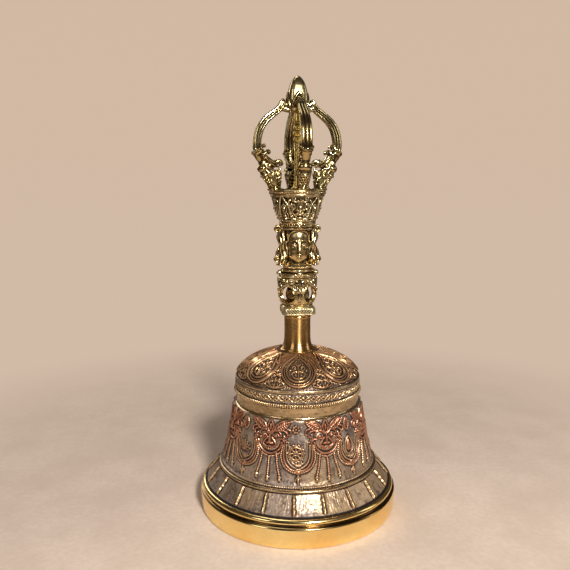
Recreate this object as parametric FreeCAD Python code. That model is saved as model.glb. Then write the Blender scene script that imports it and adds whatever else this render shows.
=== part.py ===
import FreeCAD, Part
import math
import os

from FreeCAD import Vector as V

# Ritual hand bell with a half-vajra handle. Millimetres, +Z up, origin at the
# centre of the mouth plane. The face on the handle looks along -Y.

# ---------------------------------------------------------------- dimensions
TOTAL_H = 206.3          # mouth plane to the top of the finial
LIP_R = 48.5             # greatest radius, at the top of the polished lip band
LIP_H = 9.6              # height of the polished lip band
MOUTH_WALL = 4.4         # wall at the mouth
CROWN_Z = 76.8           # top of the cup, where the ferrule stands
CROWN_IN_Z = 73.0        # underside of the crown, where the washer bears
ROD_R = 3.0              # tie rod
ROD_CLEAR = 0.05
SPINDLE_TANG_R = 2.0     # tang of the centre spindle

STEM_R = 6.3             # round ferrule that the fingers hold
STEM_TOP = 95.0
FOOT_R = 8.2

PLINTH_HALF = 8.0        # half side of the square plinth
PLINTH_TOP = 98.0
VASE_BOT = 98.0
VASE_R = 8.9             # greatest radius of the openwork vase
VASE_TOP = 112.6
VASE_IN_R = 6.7
WINDOW_W = 7.0           # windows of the vase
WINDOW_Z0, WINDOW_Z1 = 100.6, 107.4

COLLAR_TOP = 117.4
HEAD_TOP = 139.2
HEAD_R = 7.3
CROWN_BAND_TOP = 152.0
SEAT_R = 13.5
SEAT_TOP = 154.0

PRONG_HALF_W = 2.5       # tangential half width of each outer prong
HEAD_HALF_W = 3.3        # tangential half width of each monster head
PRONG_TURN = 5.0         # the half-vajra stands turned by this much from the face
FINIAL_R = 5.3
FINIAL_BOT = 190.0

EYE_Z = 62.8             # eye on the lower end of the tie rod
EYE_R, EYE_WIRE = 3.4, 1.3
LINK_WIRE = 0.9
LINK_IN_R = 2.3
LINK_IN_LEN = 9.5
GAP = 0.06               # running gap between the wires
CLAP_EYE_R, CLAP_WIRE = 3.2, 1.2
STRIKER_R = 6.0
STRIKER_Z = 11.0         # centre of the striker while the clapper hangs

os.makedirs("parts", exist_ok=True)


# ------------------------------------------------------------------- helpers
def line(a, b):
    return Part.LineSegment(V(a[0], 0, a[1]), V(b[0], 0, b[1])).toShape()


def spline(points):
    c = Part.BSplineCurve()
    c.interpolate([V(r, 0, z) for r, z in points])
    return c.toShape()


def turned(edges):
    """Solid of revolution about Z from a closed loop of edges in the XZ plane."""
    face = Part.Face(Part.Wire(Part.__sortEdges__(edges)))
    s = face.revolve(V(0, 0, 0), V(0, 0, 1), 360)
    return Part.Solid(s) if s.ShapeType != "Solid" else s


def turned_poly(points):
    edges = [line(a, b) for a, b in zip(points, points[1:] + points[:1])]
    return turned(edges)


def cyl(r, z0, z1, x=0, y=0):
    return Part.makeCylinder(r, z1 - z0, V(x, y, z0))


def one(shape):
    """The single solid of a boolean result."""
    shape = shape.removeSplitter() if hasattr(shape, "removeSplitter") else shape
    solids = shape.Solids
    if len(solids) == 1:
        return solids[0]
    return max(solids, key=lambda s: s.Volume)


def rounded(shape, pick, r):
    edges = [e for e in shape.Edges if pick(e)]
    for k in (r, r * 0.6, r * 0.35):
        try:
            out = shape.makeFillet(k, edges)
            if out.isValid() and out.Volume > 0:
                return out
        except Exception:
            pass
    return shape


nodes = {}


def keep(name, shape):
    nodes[name] = shape


# ------------------------------------------------------------------ bell cup
# Outer profile from the mouth upwards: polished lip band, quirk and bead,
# flared skirt, double ring, waist, plain band, shoulder band, dome.
lip = [(47.5, 0.0), (48.1, 0.7), (48.5, 8.7), (48.1, LIP_H), (47.0, 9.9),
       (47.2, 11.2), (46.5, 12.4), (45.7, 12.7)]
skirt = [(45.7, 12.7), (43.8, 14.2), (41.6, 16.8), (39.9, 19.3), (38.9, 20.6)]
ring = [(38.9, 20.6), (39.5, 21.0), (39.2, 22.3), (38.1, 22.8), (37.3, 23.2)]
waist = [(37.3, 23.2), (35.6, 27.0), (34.4, 32.0), (33.4, 37.0), (32.5, 42.0),
         (31.5, 47.0), (30.5, 51.5), (29.9, 54.5), (29.6, 57.0)]
shoulder = [(29.6, 57.0), (30.4, 57.3), (30.7, 58.0), (30.4, 58.8), (30.3, 61.6),
            (30.7, 62.4), (30.4, 63.4), (29.7, 63.9)]
dome = [(29.7, 63.9), (28.9, 66.0), (27.0, 68.6), (24.2, 71.1), (20.4, 73.4),
        (15.6, 75.3), (11.5, 76.5), (9.2, CROWN_Z)]
inner_low = [(43.1, 0.0), (43.3, 0.7), (43.0, 4.0), (42.0, 9.0), (40.2, 13.5),
             (37.2, 18.0), (34.8, 22.5), (33.0, 27.5), (31.6, 33.0), (30.4, 39.0),
             (29.2, 45.0), (28.0, 51.0), (27.1, 57.0)]
inner_top = [(27.1, 57.0), (26.9, 61.0), (25.9, 64.0), (23.4, 67.2), (19.6, 69.8),
             (15.0, 71.8), (11.5, 72.7), (9.0, CROWN_IN_Z)]


def poly_edges(points):
    return [line(a, b) for a, b in zip(points, points[1:])]


cup_edges = (
    poly_edges(lip) + [spline(skirt)] + poly_edges(ring) + [spline(waist)]
    + poly_edges(shoulder) + [spline(dome)]
    + [line((9.2, CROWN_Z), (ROD_R + ROD_CLEAR, CROWN_Z)),
       line((ROD_R + ROD_CLEAR, CROWN_Z), (ROD_R + ROD_CLEAR, CROWN_IN_Z)),
       line((ROD_R + ROD_CLEAR, CROWN_IN_Z), (9.0, CROWN_IN_Z)),
       spline(list(reversed(inner_top))), spline(list(reversed(inner_low[1:]))),
       line(inner_low[1], (43.1, 0.0)), line((43.1, 0.0), (47.5, 0.0))]
)
keep("bell_cup", turned(cup_edges))

# -------------------------------------------------------------- stem ferrule
bore = ROD_R + ROD_CLEAR
stem_edges = (
    [line((bore, CROWN_Z), (FOOT_R, CROWN_Z)), line((FOOT_R, CROWN_Z), (FOOT_R + 0.1, CROWN_Z + 0.9)),
     spline([(FOOT_R + 0.1, CROWN_Z + 0.9), (7.3, CROWN_Z + 1.9), (6.6, CROWN_Z + 3.4), (STEM_R, CROWN_Z + 5.4)]),
     line((STEM_R, CROWN_Z + 5.4), (STEM_R, STEM_TOP - 1.0)),
     line((STEM_R, STEM_TOP - 1.0), (STEM_R - 0.25, STEM_TOP - 0.8)),
     line((STEM_R - 0.25, STEM_TOP - 0.8), (STEM_R - 0.25, STEM_TOP)),
     line((STEM_R - 0.25, STEM_TOP), (bore, STEM_TOP)),
     line((bore, STEM_TOP), (bore, CROWN_Z))]
)
keep("stem_ferrule", turned(stem_edges))

# -------------------------------------------------------------- square plinth
h = PLINTH_HALF
c = 1.7
outline = [(-h + c, -h), (h - c, -h), (h, -h + c), (h, h - c),
           (h - c, h), (-h + c, h), (-h, h - c), (-h, -h + c)]
wire = Part.makePolygon([V(x, y, STEM_TOP) for x, y in outline + outline[:1]])
plinth = Part.Face(wire).extrude(V(0, 0, PLINTH_TOP - STEM_TOP))
plinth = plinth.cut(cyl(bore, STEM_TOP - 1, PLINTH_TOP + 1))
plinth = rounded(plinth, lambda e: abs(e.BoundBox.ZLength) < 0.01 and e.BoundBox.DiagonalLength > 8
                 and abs(e.CenterOfMass.z - STEM_TOP) < 0.01 and e.Curve.TypeId == "Part::GeomLine", 0.5)
keep("base_plinth", one(plinth))

# ------------------------------------------------------------- openwork vase
vase_out = [(6.9, VASE_BOT), (7.4, VASE_BOT + 0.8), (7.2, VASE_BOT + 1.6), (8.0, 100.4),
            (8.7, 102.6), (VASE_R, 105.2), (8.6, 107.8), (8.4, 109.6), (8.9, 110.8), (8.5, VASE_TOP)]
vase_edges = [spline(vase_out), line(vase_out[-1], (bore, VASE_TOP)),
              line((bore, VASE_TOP), (bore, 110.4)), line((bore, 110.4), (5.6, 109.4)),
              spline([(5.6, 109.4), (VASE_IN_R, 107.4), (6.9, 104.4), (6.3, 101.6), (5.2, 100.2)]),
              line((5.2, 100.2), (bore, 99.8)), line((bore, 99.8), (bore, VASE_BOT)),
              line((bore, VASE_BOT), vase_out[0])]
vase = turned(vase_edges)
# The bulb inside the cage, round the tie rod.
core = turned_poly([(bore, 98.9), (5.3, 98.9), (5.0, 100.8), (5.6, 103.2), (5.6, 104.8), (5.1, 106.6), (4.4, 108.2), (4.2, 111.0), (bore, 111.0)])
# One arched window on each diagonal, so that a post stands on each side.
w = WINDOW_W / 2
spring = WINDOW_Z1 - w * 0.75
arch = Part.Wire([
    Part.LineSegment(V(4, -w, WINDOW_Z0 + 1.6), V(4, -w, spring)).toShape(),
    Part.Arc(V(4, -w, spring), V(4, 0, WINDOW_Z1), V(4, w, spring)).toShape(),
    Part.LineSegment(V(4, w, spring), V(4, w, WINDOW_Z0 + 1.6)).toShape(),
    Part.Arc(V(4, w, WINDOW_Z0 + 1.6), V(4, 0, WINDOW_Z0), V(4, -w, WINDOW_Z0 + 1.6)).toShape(),
])
cutter = Part.Face(arch).extrude(V(9, 0, 0))
for k in range(4):
    t = cutter.copy()
    t.rotate(V(0, 0, 0), V(0, 0, 1), 45 + 90 * k)
    vase = vase.cut(t)
keep("openwork_vase", one(vase.fuse(core)))

# -------------------------------------------------------------- lotus collar
collar_out = [(8.3, VASE_TOP), (8.9, 113.4), (8.5, 114.3), (7.0, 114.8), (6.6, 115.4),
              (7.4, 116.2), (7.0, 117.0), (6.2, COLLAR_TOP)]
collar = turned([spline(collar_out), line(collar_out[-1], (bore, COLLAR_TOP)),
                 line((bore, COLLAR_TOP), (bore, VASE_TOP)), line((bore, VASE_TOP), collar_out[0])])
# A round knob on each of the four sides, over the posts of the vase.
for k in range(4):
    a = math.radians(90 * k)
    knob = Part.makeSphere(1.4, V(8.75 * math.cos(a), 8.75 * math.sin(a), 114.7))
    collar = collar.fuse(knob)
keep("lotus_collar", one(collar))

# --------------------------------------------------------------- deity head
# One casting: skull with the face on -Y, hair behind, side locks with a
# rosette at the temple and a curl at the shoulder.
head_out = [(6.0, COLLAR_TOP), (6.9, 119.0), (7.4, 122.0), (7.6, 126.0), (7.6, 131.0),
            (7.7, 134.0), (7.9, 135.6)]
band = [(7.9, 135.6), (8.6, 136.0), (8.7, 137.2), (8.4, 137.6), (8.7, 138.0), (8.7, HEAD_TOP)]
TANG_BOT = 129.6
head = turned(
    [spline(head_out)] + poly_edges(band)
    + [line((8.7, HEAD_TOP), (SPINDLE_TANG_R + ROD_CLEAR, HEAD_TOP)),
       line((SPINDLE_TANG_R + ROD_CLEAR, HEAD_TOP), (SPINDLE_TANG_R + ROD_CLEAR, TANG_BOT - 0.2)),
       line((SPINDLE_TANG_R + ROD_CLEAR, TANG_BOT - 0.2), (0, TANG_BOT - 0.2)),
       line((0, TANG_BOT - 0.2), (0, 128.4)), line((0, 128.4), (bore, 128.4)),
       line((bore, 128.4), (bore, COLLAR_TOP)), line((bore, COLLAR_TOP), head_out[0])]
)
nose = Part.makeCone(0.5, 1.2, 4.4, V(0, -7.2, 125.0), V(0, 0.05, 1))
head = head.fuse(nose)
for s in (-1, 1):
    lock = Part.makeBox(3.2, 6.4, 18.4, V(6.6 if s > 0 else -9.8, -3.2, 118.4))
    lock = rounded(lock, lambda e: True, 1.2)
    rosette = Part.makeCylinder(2.1, 5.4, V(s * 9.4, -2.7, 136.0), V(0, 1, 0))
    curl = Part.makeCylinder(1.9, 5.4, V(s * 9.7, -2.7, 121.3), V(0, 1, 0))
    head = head.fuse(lock).fuse(rosette).fuse(curl)
keep("deity_head", one(head))

# --------------------------------------------------------------------- crown
tb = SPINDLE_TANG_R + ROD_CLEAR
crown_out = [(8.6, HEAD_TOP), (9.1, 141.5), (10.2, 144.5), (11.2, 147.8), (12.3, 150.6), (13.0, CROWN_BAND_TOP)]
keep("crown", turned([spline(crown_out), line(crown_out[-1], (tb, CROWN_BAND_TOP)),
                      line((tb, CROWN_BAND_TOP), (tb, HEAD_TOP)), line((tb, HEAD_TOP), crown_out[0])]))

# ---------------------------------------------------------------- vajra seat
seat = turned_poly([(tb, CROWN_BAND_TOP), (13.2, CROWN_BAND_TOP), (SEAT_R, 152.4), (SEAT_R, 153.2),
                    (13.0, 153.6), (12.6, SEAT_TOP), (tb, SEAT_TOP)])
keep("vajra_seat", seat)

# ------------------------------------------------------------- outer prongs
# Drawn in the XZ plane for the prong on +X: a bow that leaves the mouth of a
# monster head and closes on the finial, then turned to its own side.
bow_out = [(18.6, 166.0), (20.4, 169.5), (21.0, 174.0), (20.8, 178.5), (20.0, 182.0), (17.9, 185.9),
           (14.8, 188.9), (11.6, 190.9), (9.3, 192.6), (8.6, 194.4)]
bow_in = [(6.4, 194.6), (6.2, 193.0), (7.2, 191.2), (10.0, 188.6), (13.2, 186.0), (15.6, 182.8),
          (16.8, 178.8), (17.0, 174.0), (16.2, 169.5), (14.6, 166.0)]
bow = Part.Face(Part.Wire([
    spline(bow_out), line(bow_out[-1], bow_in[0]), spline(bow_in), line(bow_in[-1], bow_out[0])]))
bow.translate(V(0, -PRONG_HALF_W, 0))
bow = bow.extrude(V(0, 2 * PRONG_HALF_W, 0))
bow = rounded(bow, lambda e: e.BoundBox.YLength < 0.01 and e.Length > 15, 1.3)
web = Part.Face(Part.makePolygon([V(3.6, -1.6, 190.4), V(8.6, -1.6, 190.9), V(7.6, -1.6, 193.2),
                                  V(3.6, -1.6, 193.2), V(3.6, -1.6, 190.4)])).extrude(V(0, 3.2, 0))
head_pts = [(12.9, SEAT_TOP), (15.4, 158.2), (18.4, 161.0), (18.9, 163.2), (18.4, 165.6), (19.4, 167.6),
            (21.9, 171.0), (20.4, 171.6), (15.6, 169.6), (13.6, 171.6), (12.0, 168.4), (8.2, 167.2),
            (7.8, 165.2), (8.8, 162.0), (8.2, 158.0), (8.6, SEAT_TOP)]
prong_head = Part.Face(Part.makePolygon([V(r, -HEAD_HALF_W, z) for r, z in head_pts + head_pts[:1]]))
prong_head = prong_head.extrude(V(0, 2 * HEAD_HALF_W, 0))
prong_head = rounded(prong_head, lambda e: e.BoundBox.YLength < 0.01, 0.7)
prong = bow.fuse(prong_head).fuse(web)

# -------------------------------------------------------------------- finial
finial_out = [(4.3, FINIAL_BOT), (5.0, 191.6), (5.2, 194.0), (FINIAL_R, 197.0), (5.1, 200.0),
              (4.4, 202.6), (3.2, 204.8), (1.9, 206.0)]
SOCKET_TOP = 194.0
finial = turned([spline(finial_out), line(finial_out[-1], (0.8, TOTAL_H)), line((0.8, TOTAL_H), (0, TOTAL_H)),
                 line((0, TOTAL_H), (0, SOCKET_TOP)), line((0, SOCKET_TOP), (1.65, SOCKET_TOP)),
                 line((1.65, SOCKET_TOP), (1.65, FINIAL_BOT)), line((1.65, FINIAL_BOT), finial_out[0])])
keep("vajra_finial", finial)

prong = one(prong.cut(finial))
for name, angle in (("prong_right", 0), ("prong_back", 90), ("prong_left", 180), ("prong_front", -90)):
    p = prong.copy()
    p.rotate(V(0, 0, 0), V(0, 0, 1), angle + PRONG_TURN)
    keep(name, p)

# ------------------------------------------------------------ centre spindle
# A turned rod: tang in the crown, collar on the seat, three rings at
# mid-height, upper end in the finial's socket.
spindle = [(0, TANG_BOT), (1.6, TANG_BOT), (SPINDLE_TANG_R, 130.2), (SPINDLE_TANG_R, SEAT_TOP),
           (2.9, SEAT_TOP), (2.9, 155.0), (2.2, 155.6), (1.5, 157.6), (1.2, 162.0), (1.2, 174.0), (1.4, 176.0),
           (1.75, 177.2), (1.35, 178.5), (1.85, 179.9), (1.35, 181.3), (1.75, 182.6), (1.2, 184.1),
           (1.5, 186.2), (1.1, 189.4), (1.6, 190.8), (1.6, 193.8), (0, 193.8)]
keep("centre_spindle", turned_poly(spindle))

# ------------------------------------------- tie rod with the eye, washer, nut
rod = cyl(ROD_R, 66.0, 128.2)
eye = Part.makeTorus(EYE_R, EYE_WIRE, V(0, 0, EYE_Z), V(1, 0, 0))
neck = Part.makeCone(1.3, ROD_R, 1.6, V(0, 0, 65.2 - 0.6), V(0, 0, 1))
neck2 = cyl(ROD_R, 66.2, 67.0)
tie = one(rod.fuse(neck).fuse(neck2).fuse(eye))
keep("tie_rod", tie)
washer = cyl(7.0, 71.7, CROWN_IN_Z).cut(cyl(bore, 71, 74))
washer = rounded(washer, lambda e: abs(e.CenterOfMass.z - 71.7) < 0.01 and e.Length > 30, 0.5)
keep("crown_washer", one(washer))
hexa = Part.makePolygon([V(5.77 * math.cos(math.radians(60 * k)), 5.77 * math.sin(math.radians(60 * k)), 67.2)
                         for k in range(7)])
nut = Part.Face(hexa).extrude(V(0, 0, 4.5))
nut = nut.common(turned_poly([(0, 67.2), (5.0, 67.2), (5.85, 67.8), (5.85, 71.7), (0, 71.7)]))
nut = nut.cut(cyl(bore, 66, 73))
keep("crown_nut", one(nut))

# ------------------------------------------------------------- hanger link
# A long ring in the XZ plane, hung in the eye, which stands in the YZ plane.
TOP_WIRE = EYE_Z - EYE_R + EYE_WIRE + GAP + LINK_WIRE
BOT_WIRE = TOP_WIRE - LINK_IN_LEN - 2 * LINK_WIRE
rr = LINK_IN_R + LINK_WIRE
zt, zb = TOP_WIRE - rr, BOT_WIRE + rr
top_arc = Part.makeTorus(rr, LINK_WIRE, V(0, 0, zt), V(0, 1, 0)).common(Part.makeBox(20, 20, 20, V(-10, -10, zt)))
bot_arc = Part.makeTorus(rr, LINK_WIRE, V(0, 0, zb), V(0, 1, 0)).common(Part.makeBox(20, 20, 20, V(-10, -10, zb - 20)))
sides = [Part.makeCylinder(LINK_WIRE, zt - zb, V(s * rr, 0, zb)) for s in (-1, 1)]
link = top_arc.fuse(bot_arc).fuse(sides[0]).fuse(sides[1])
keep("hanger_link", one(link))

# ------------------------------------------------------------------ clapper
CLAP_TOP_WIRE = BOT_WIRE + LINK_WIRE + GAP + CLAP_WIRE
CE = CLAP_TOP_WIRE - CLAP_EYE_R
clap_eye = Part.makeTorus(CLAP_EYE_R, CLAP_WIRE, V(0, 0, CE), V(1, 0, 0))
shank_top = CE - CLAP_EYE_R + 0.4
S = STRIKER_Z
shank = turned_poly([(0, S - 4.4), (1.5, S - 4.4), (1.5, S + 5.4), (2.7, S + 5.4), (2.9, S + 6.2), (2.5, S + 7.4),
                     (2.1, S + 9.0), (1.75, 34.0), (1.6, shank_top - 1.0), (1.2, shank_top), (0, shank_top)])
keep("clapper_shank", one(shank.fuse(clap_eye)))
# Turned brass striker with a rounded nose, driven onto the shank.
ball = turned([spline([(2.6, S + 5.4), (4.2, S + 4.8), (5.5, S + 2.8), (STRIKER_R, S), (5.6, S - 3.0),
                       (4.2, S - 5.2), (2.4, S - 6.2)]),
               line((2.4, S - 6.2), (0, S - 6.4)), line((0, S - 6.4), (0, S - 4.4)),
               line((0, S - 4.4), (1.5, S - 4.4)), line((1.5, S - 4.4), (1.5, S + 5.4)),
               line((1.5, S + 5.4), (2.6, S + 5.4))])
keep("clapper_striker", ball)

# ------------------------------------------------------------------- export
# The link rocks about its own upper wire, the clapper about the upper wire of its eye.
PIVOTS = {"link_swing_z": TOP_WIRE, "clapper_sway_z": CLAP_TOP_WIRE}
for name, shape in nodes.items():
    ok = shape.isValid() and shape.ShapeType in ("Solid", "Compound") and shape.Volume > 0
    shape.exportStep(f"parts/{name}.step")
    print(f"{name:18s} valid={ok} solids={len(shape.Solids)} volume={shape.Volume:9.1f} "
          f"z {shape.BoundBox.ZMin:7.2f} {shape.BoundBox.ZMax:7.2f} x {shape.BoundBox.XMin:6.2f} {shape.BoundBox.XMax:6.2f}")
print("pivots", PIVOTS)
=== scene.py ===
import math

import bpy
import numpy as np
from mathutils import Matrix, Vector


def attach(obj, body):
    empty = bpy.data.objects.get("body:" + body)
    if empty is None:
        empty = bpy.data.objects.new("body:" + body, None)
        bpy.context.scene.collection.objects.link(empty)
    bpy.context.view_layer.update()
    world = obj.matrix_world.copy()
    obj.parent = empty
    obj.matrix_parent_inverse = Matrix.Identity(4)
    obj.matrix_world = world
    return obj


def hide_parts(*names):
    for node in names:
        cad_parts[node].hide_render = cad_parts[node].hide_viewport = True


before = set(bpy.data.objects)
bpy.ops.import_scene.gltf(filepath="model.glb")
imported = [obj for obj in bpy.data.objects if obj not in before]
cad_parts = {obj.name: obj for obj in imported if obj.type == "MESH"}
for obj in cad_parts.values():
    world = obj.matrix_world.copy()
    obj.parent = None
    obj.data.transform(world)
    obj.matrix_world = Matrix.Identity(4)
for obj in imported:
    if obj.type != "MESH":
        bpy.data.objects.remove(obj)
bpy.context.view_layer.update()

MM = 0.001
RNG = np.random.default_rng(7)


# ============================================================ mesh helpers
def make_piece(name, verts, faces, material, attrs=None, smooth=True, body="bell", stands_for=()):
    """A mesh piece in the row frame from millimetre vertices and an (n, 3|4) face array."""
    me = bpy.data.meshes.new(name)
    verts = np.asarray(verts, np.float32)
    faces = np.asarray(faces, np.int32)
    count, corners = faces.shape
    me.vertices.add(len(verts))
    me.vertices.foreach_set("co", (verts * MM).ravel())
    me.loops.add(count * corners)
    me.loops.foreach_set("vertex_index", faces.ravel())
    me.polygons.add(count)
    me.polygons.foreach_set("loop_start", np.arange(0, count * corners, corners, dtype=np.int32))
    me.polygons.foreach_set("use_smooth", np.full(count, bool(smooth)))
    for key, values in (attrs or {}).items():
        a = me.attributes.new(key, "FLOAT", "POINT")
        a.data.foreach_set("value", np.asarray(values, np.float32).ravel())
    me.update(calc_edges=True)
    me.validate()
    me.materials.append(material)
    ob = bpy.data.objects.new(name, me)
    bpy.context.scene.collection.objects.link(ob)
    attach(ob, body)
    if stands_for:
        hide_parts(*stands_for)
    return ob


def catmull(points, step=0.15, closed=False):
    """Points along a Catmull-Rom curve through the given points, about `step` apart."""
    p = np.asarray(points, float)
    if closed:
        p = np.vstack([p[-1], p, p[0], p[1]])
    else:
        p = np.vstack([2 * p[0] - p[1], p, 2 * p[-1] - p[-2]])
    out = []
    for a, b, c, d in zip(p[:-3], p[1:-2], p[2:-1], p[3:]):
        n = max(2, int(np.linalg.norm((c - b)[:3]) / step) + 1)
        t = np.linspace(0, 1, n, endpoint=False)[:, None]
        out.append(0.5 * ((2 * b) + (c - a) * t + (2 * a - 5 * b + 4 * c - d) * t**2 + (3 * b - a - 3 * c + d) * t**3))
    out.append(p[-2][None])
    return np.vstack(out)


def even(points, step):
    """The same polyline resampled at even spacing."""
    p = np.asarray(points, float)
    s = np.r_[0, np.cumsum(np.linalg.norm(np.diff(p, axis=0), axis=1))]
    n = max(2, int(round(s[-1] / step)) + 1)
    t = np.linspace(0, s[-1], n)
    return np.stack([np.interp(t, s, p[:, k]) for k in range(p.shape[1])], 1)


def revolve_grid(prof, n, closed_ring=False):
    """Angles (from the front, -Y, towards +X), and quad indices of a surface of revolution."""
    m = len(prof)
    j = np.arange(n)
    faces = []
    rows = m if closed_ring else m - 1
    for i in range(rows):
        a = i * n + j
        b = i * n + (j + 1) % n
        k = (i + 1) % m
        c = k * n + (j + 1) % n
        d = k * n + j
        faces.append(np.stack([a, b, c, d], 1))
    return 2 * np.pi * j / n, np.vstack(faces)


def turned(prof, n, relief=None, closed_ring=False):
    """Vertices and quads of a turned surface. relief(angle[n], s[m]) gives millimetres out along the normal."""
    prof = np.asarray(prof, float)
    ang, faces = revolve_grid(prof, n, closed_ring)
    if closed_ring:
        tan = np.roll(prof, -1, 0) - np.roll(prof, 1, 0)
    else:
        tan = np.gradient(prof, axis=0)
    tan /= np.linalg.norm(tan, axis=1, keepdims=True) + 1e-9
    nr, nz = tan[:, 1], -tan[:, 0]
    s = np.r_[0, np.cumsum(np.linalg.norm(np.diff(prof, axis=0), axis=1))]
    h = np.zeros((len(prof), n)) if relief is None else relief(ang[None, :], s[:, None], prof[:, 0][:, None], prof[:, 1][:, None])
    r = prof[:, 0][:, None] + h * nr[:, None]
    z = prof[:, 1][:, None] + h * nz[:, None]
    x = r * np.sin(ang)
    y = -r * np.cos(ang)
    return np.stack([x, y, np.broadcast_to(z, x.shape)], -1).reshape(-1, 3), faces, h


def smooth_noise(shape, cells, seed=1):
    """Periodic value noise on the last axis, -1 to 1."""
    g = np.random.default_rng(seed)
    m, n = shape
    cm, cn = cells
    grid = g.uniform(-1, 1, (cm + 2, cn))
    yy = np.linspace(0, cm, m, endpoint=False)
    xx = np.linspace(0, cn, n, endpoint=False)
    y0 = yy.astype(int); x0 = xx.astype(int)
    fy = yy - y0; fx = xx - x0
    fy = (fy * fy * (3 - 2 * fy))[:, None]; fx = (fx * fx * (3 - 2 * fx))[None, :]
    x1 = (x0 + 1) % cn
    a = grid[np.ix_(y0, x0)]; b = grid[np.ix_(y0, x1)]
    c = grid[np.ix_(y0 + 1, x0)]; d = grid[np.ix_(y0 + 1, x1)]
    return (a * (1 - fx) + b * fx) * (1 - fy) + (c * (1 - fx) + d * fx) * fy


def box_blur(a, rad, axis, wrap=False):
    """Mean over 2 rad + 1 samples along an axis."""
    a = np.moveaxis(a, axis, 0)
    pad = [(rad + 1, rad)] + [(0, 0)] * (a.ndim - 1)
    p = np.pad(a, pad, mode="wrap" if wrap else "edge")
    c = np.cumsum(p, axis=0, dtype=np.float64)
    out = (c[2 * rad + 1:] - c[:-(2 * rad + 1)]) / (2 * rad + 1)
    return np.moveaxis(out, 0, axis).astype(np.float32)


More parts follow.
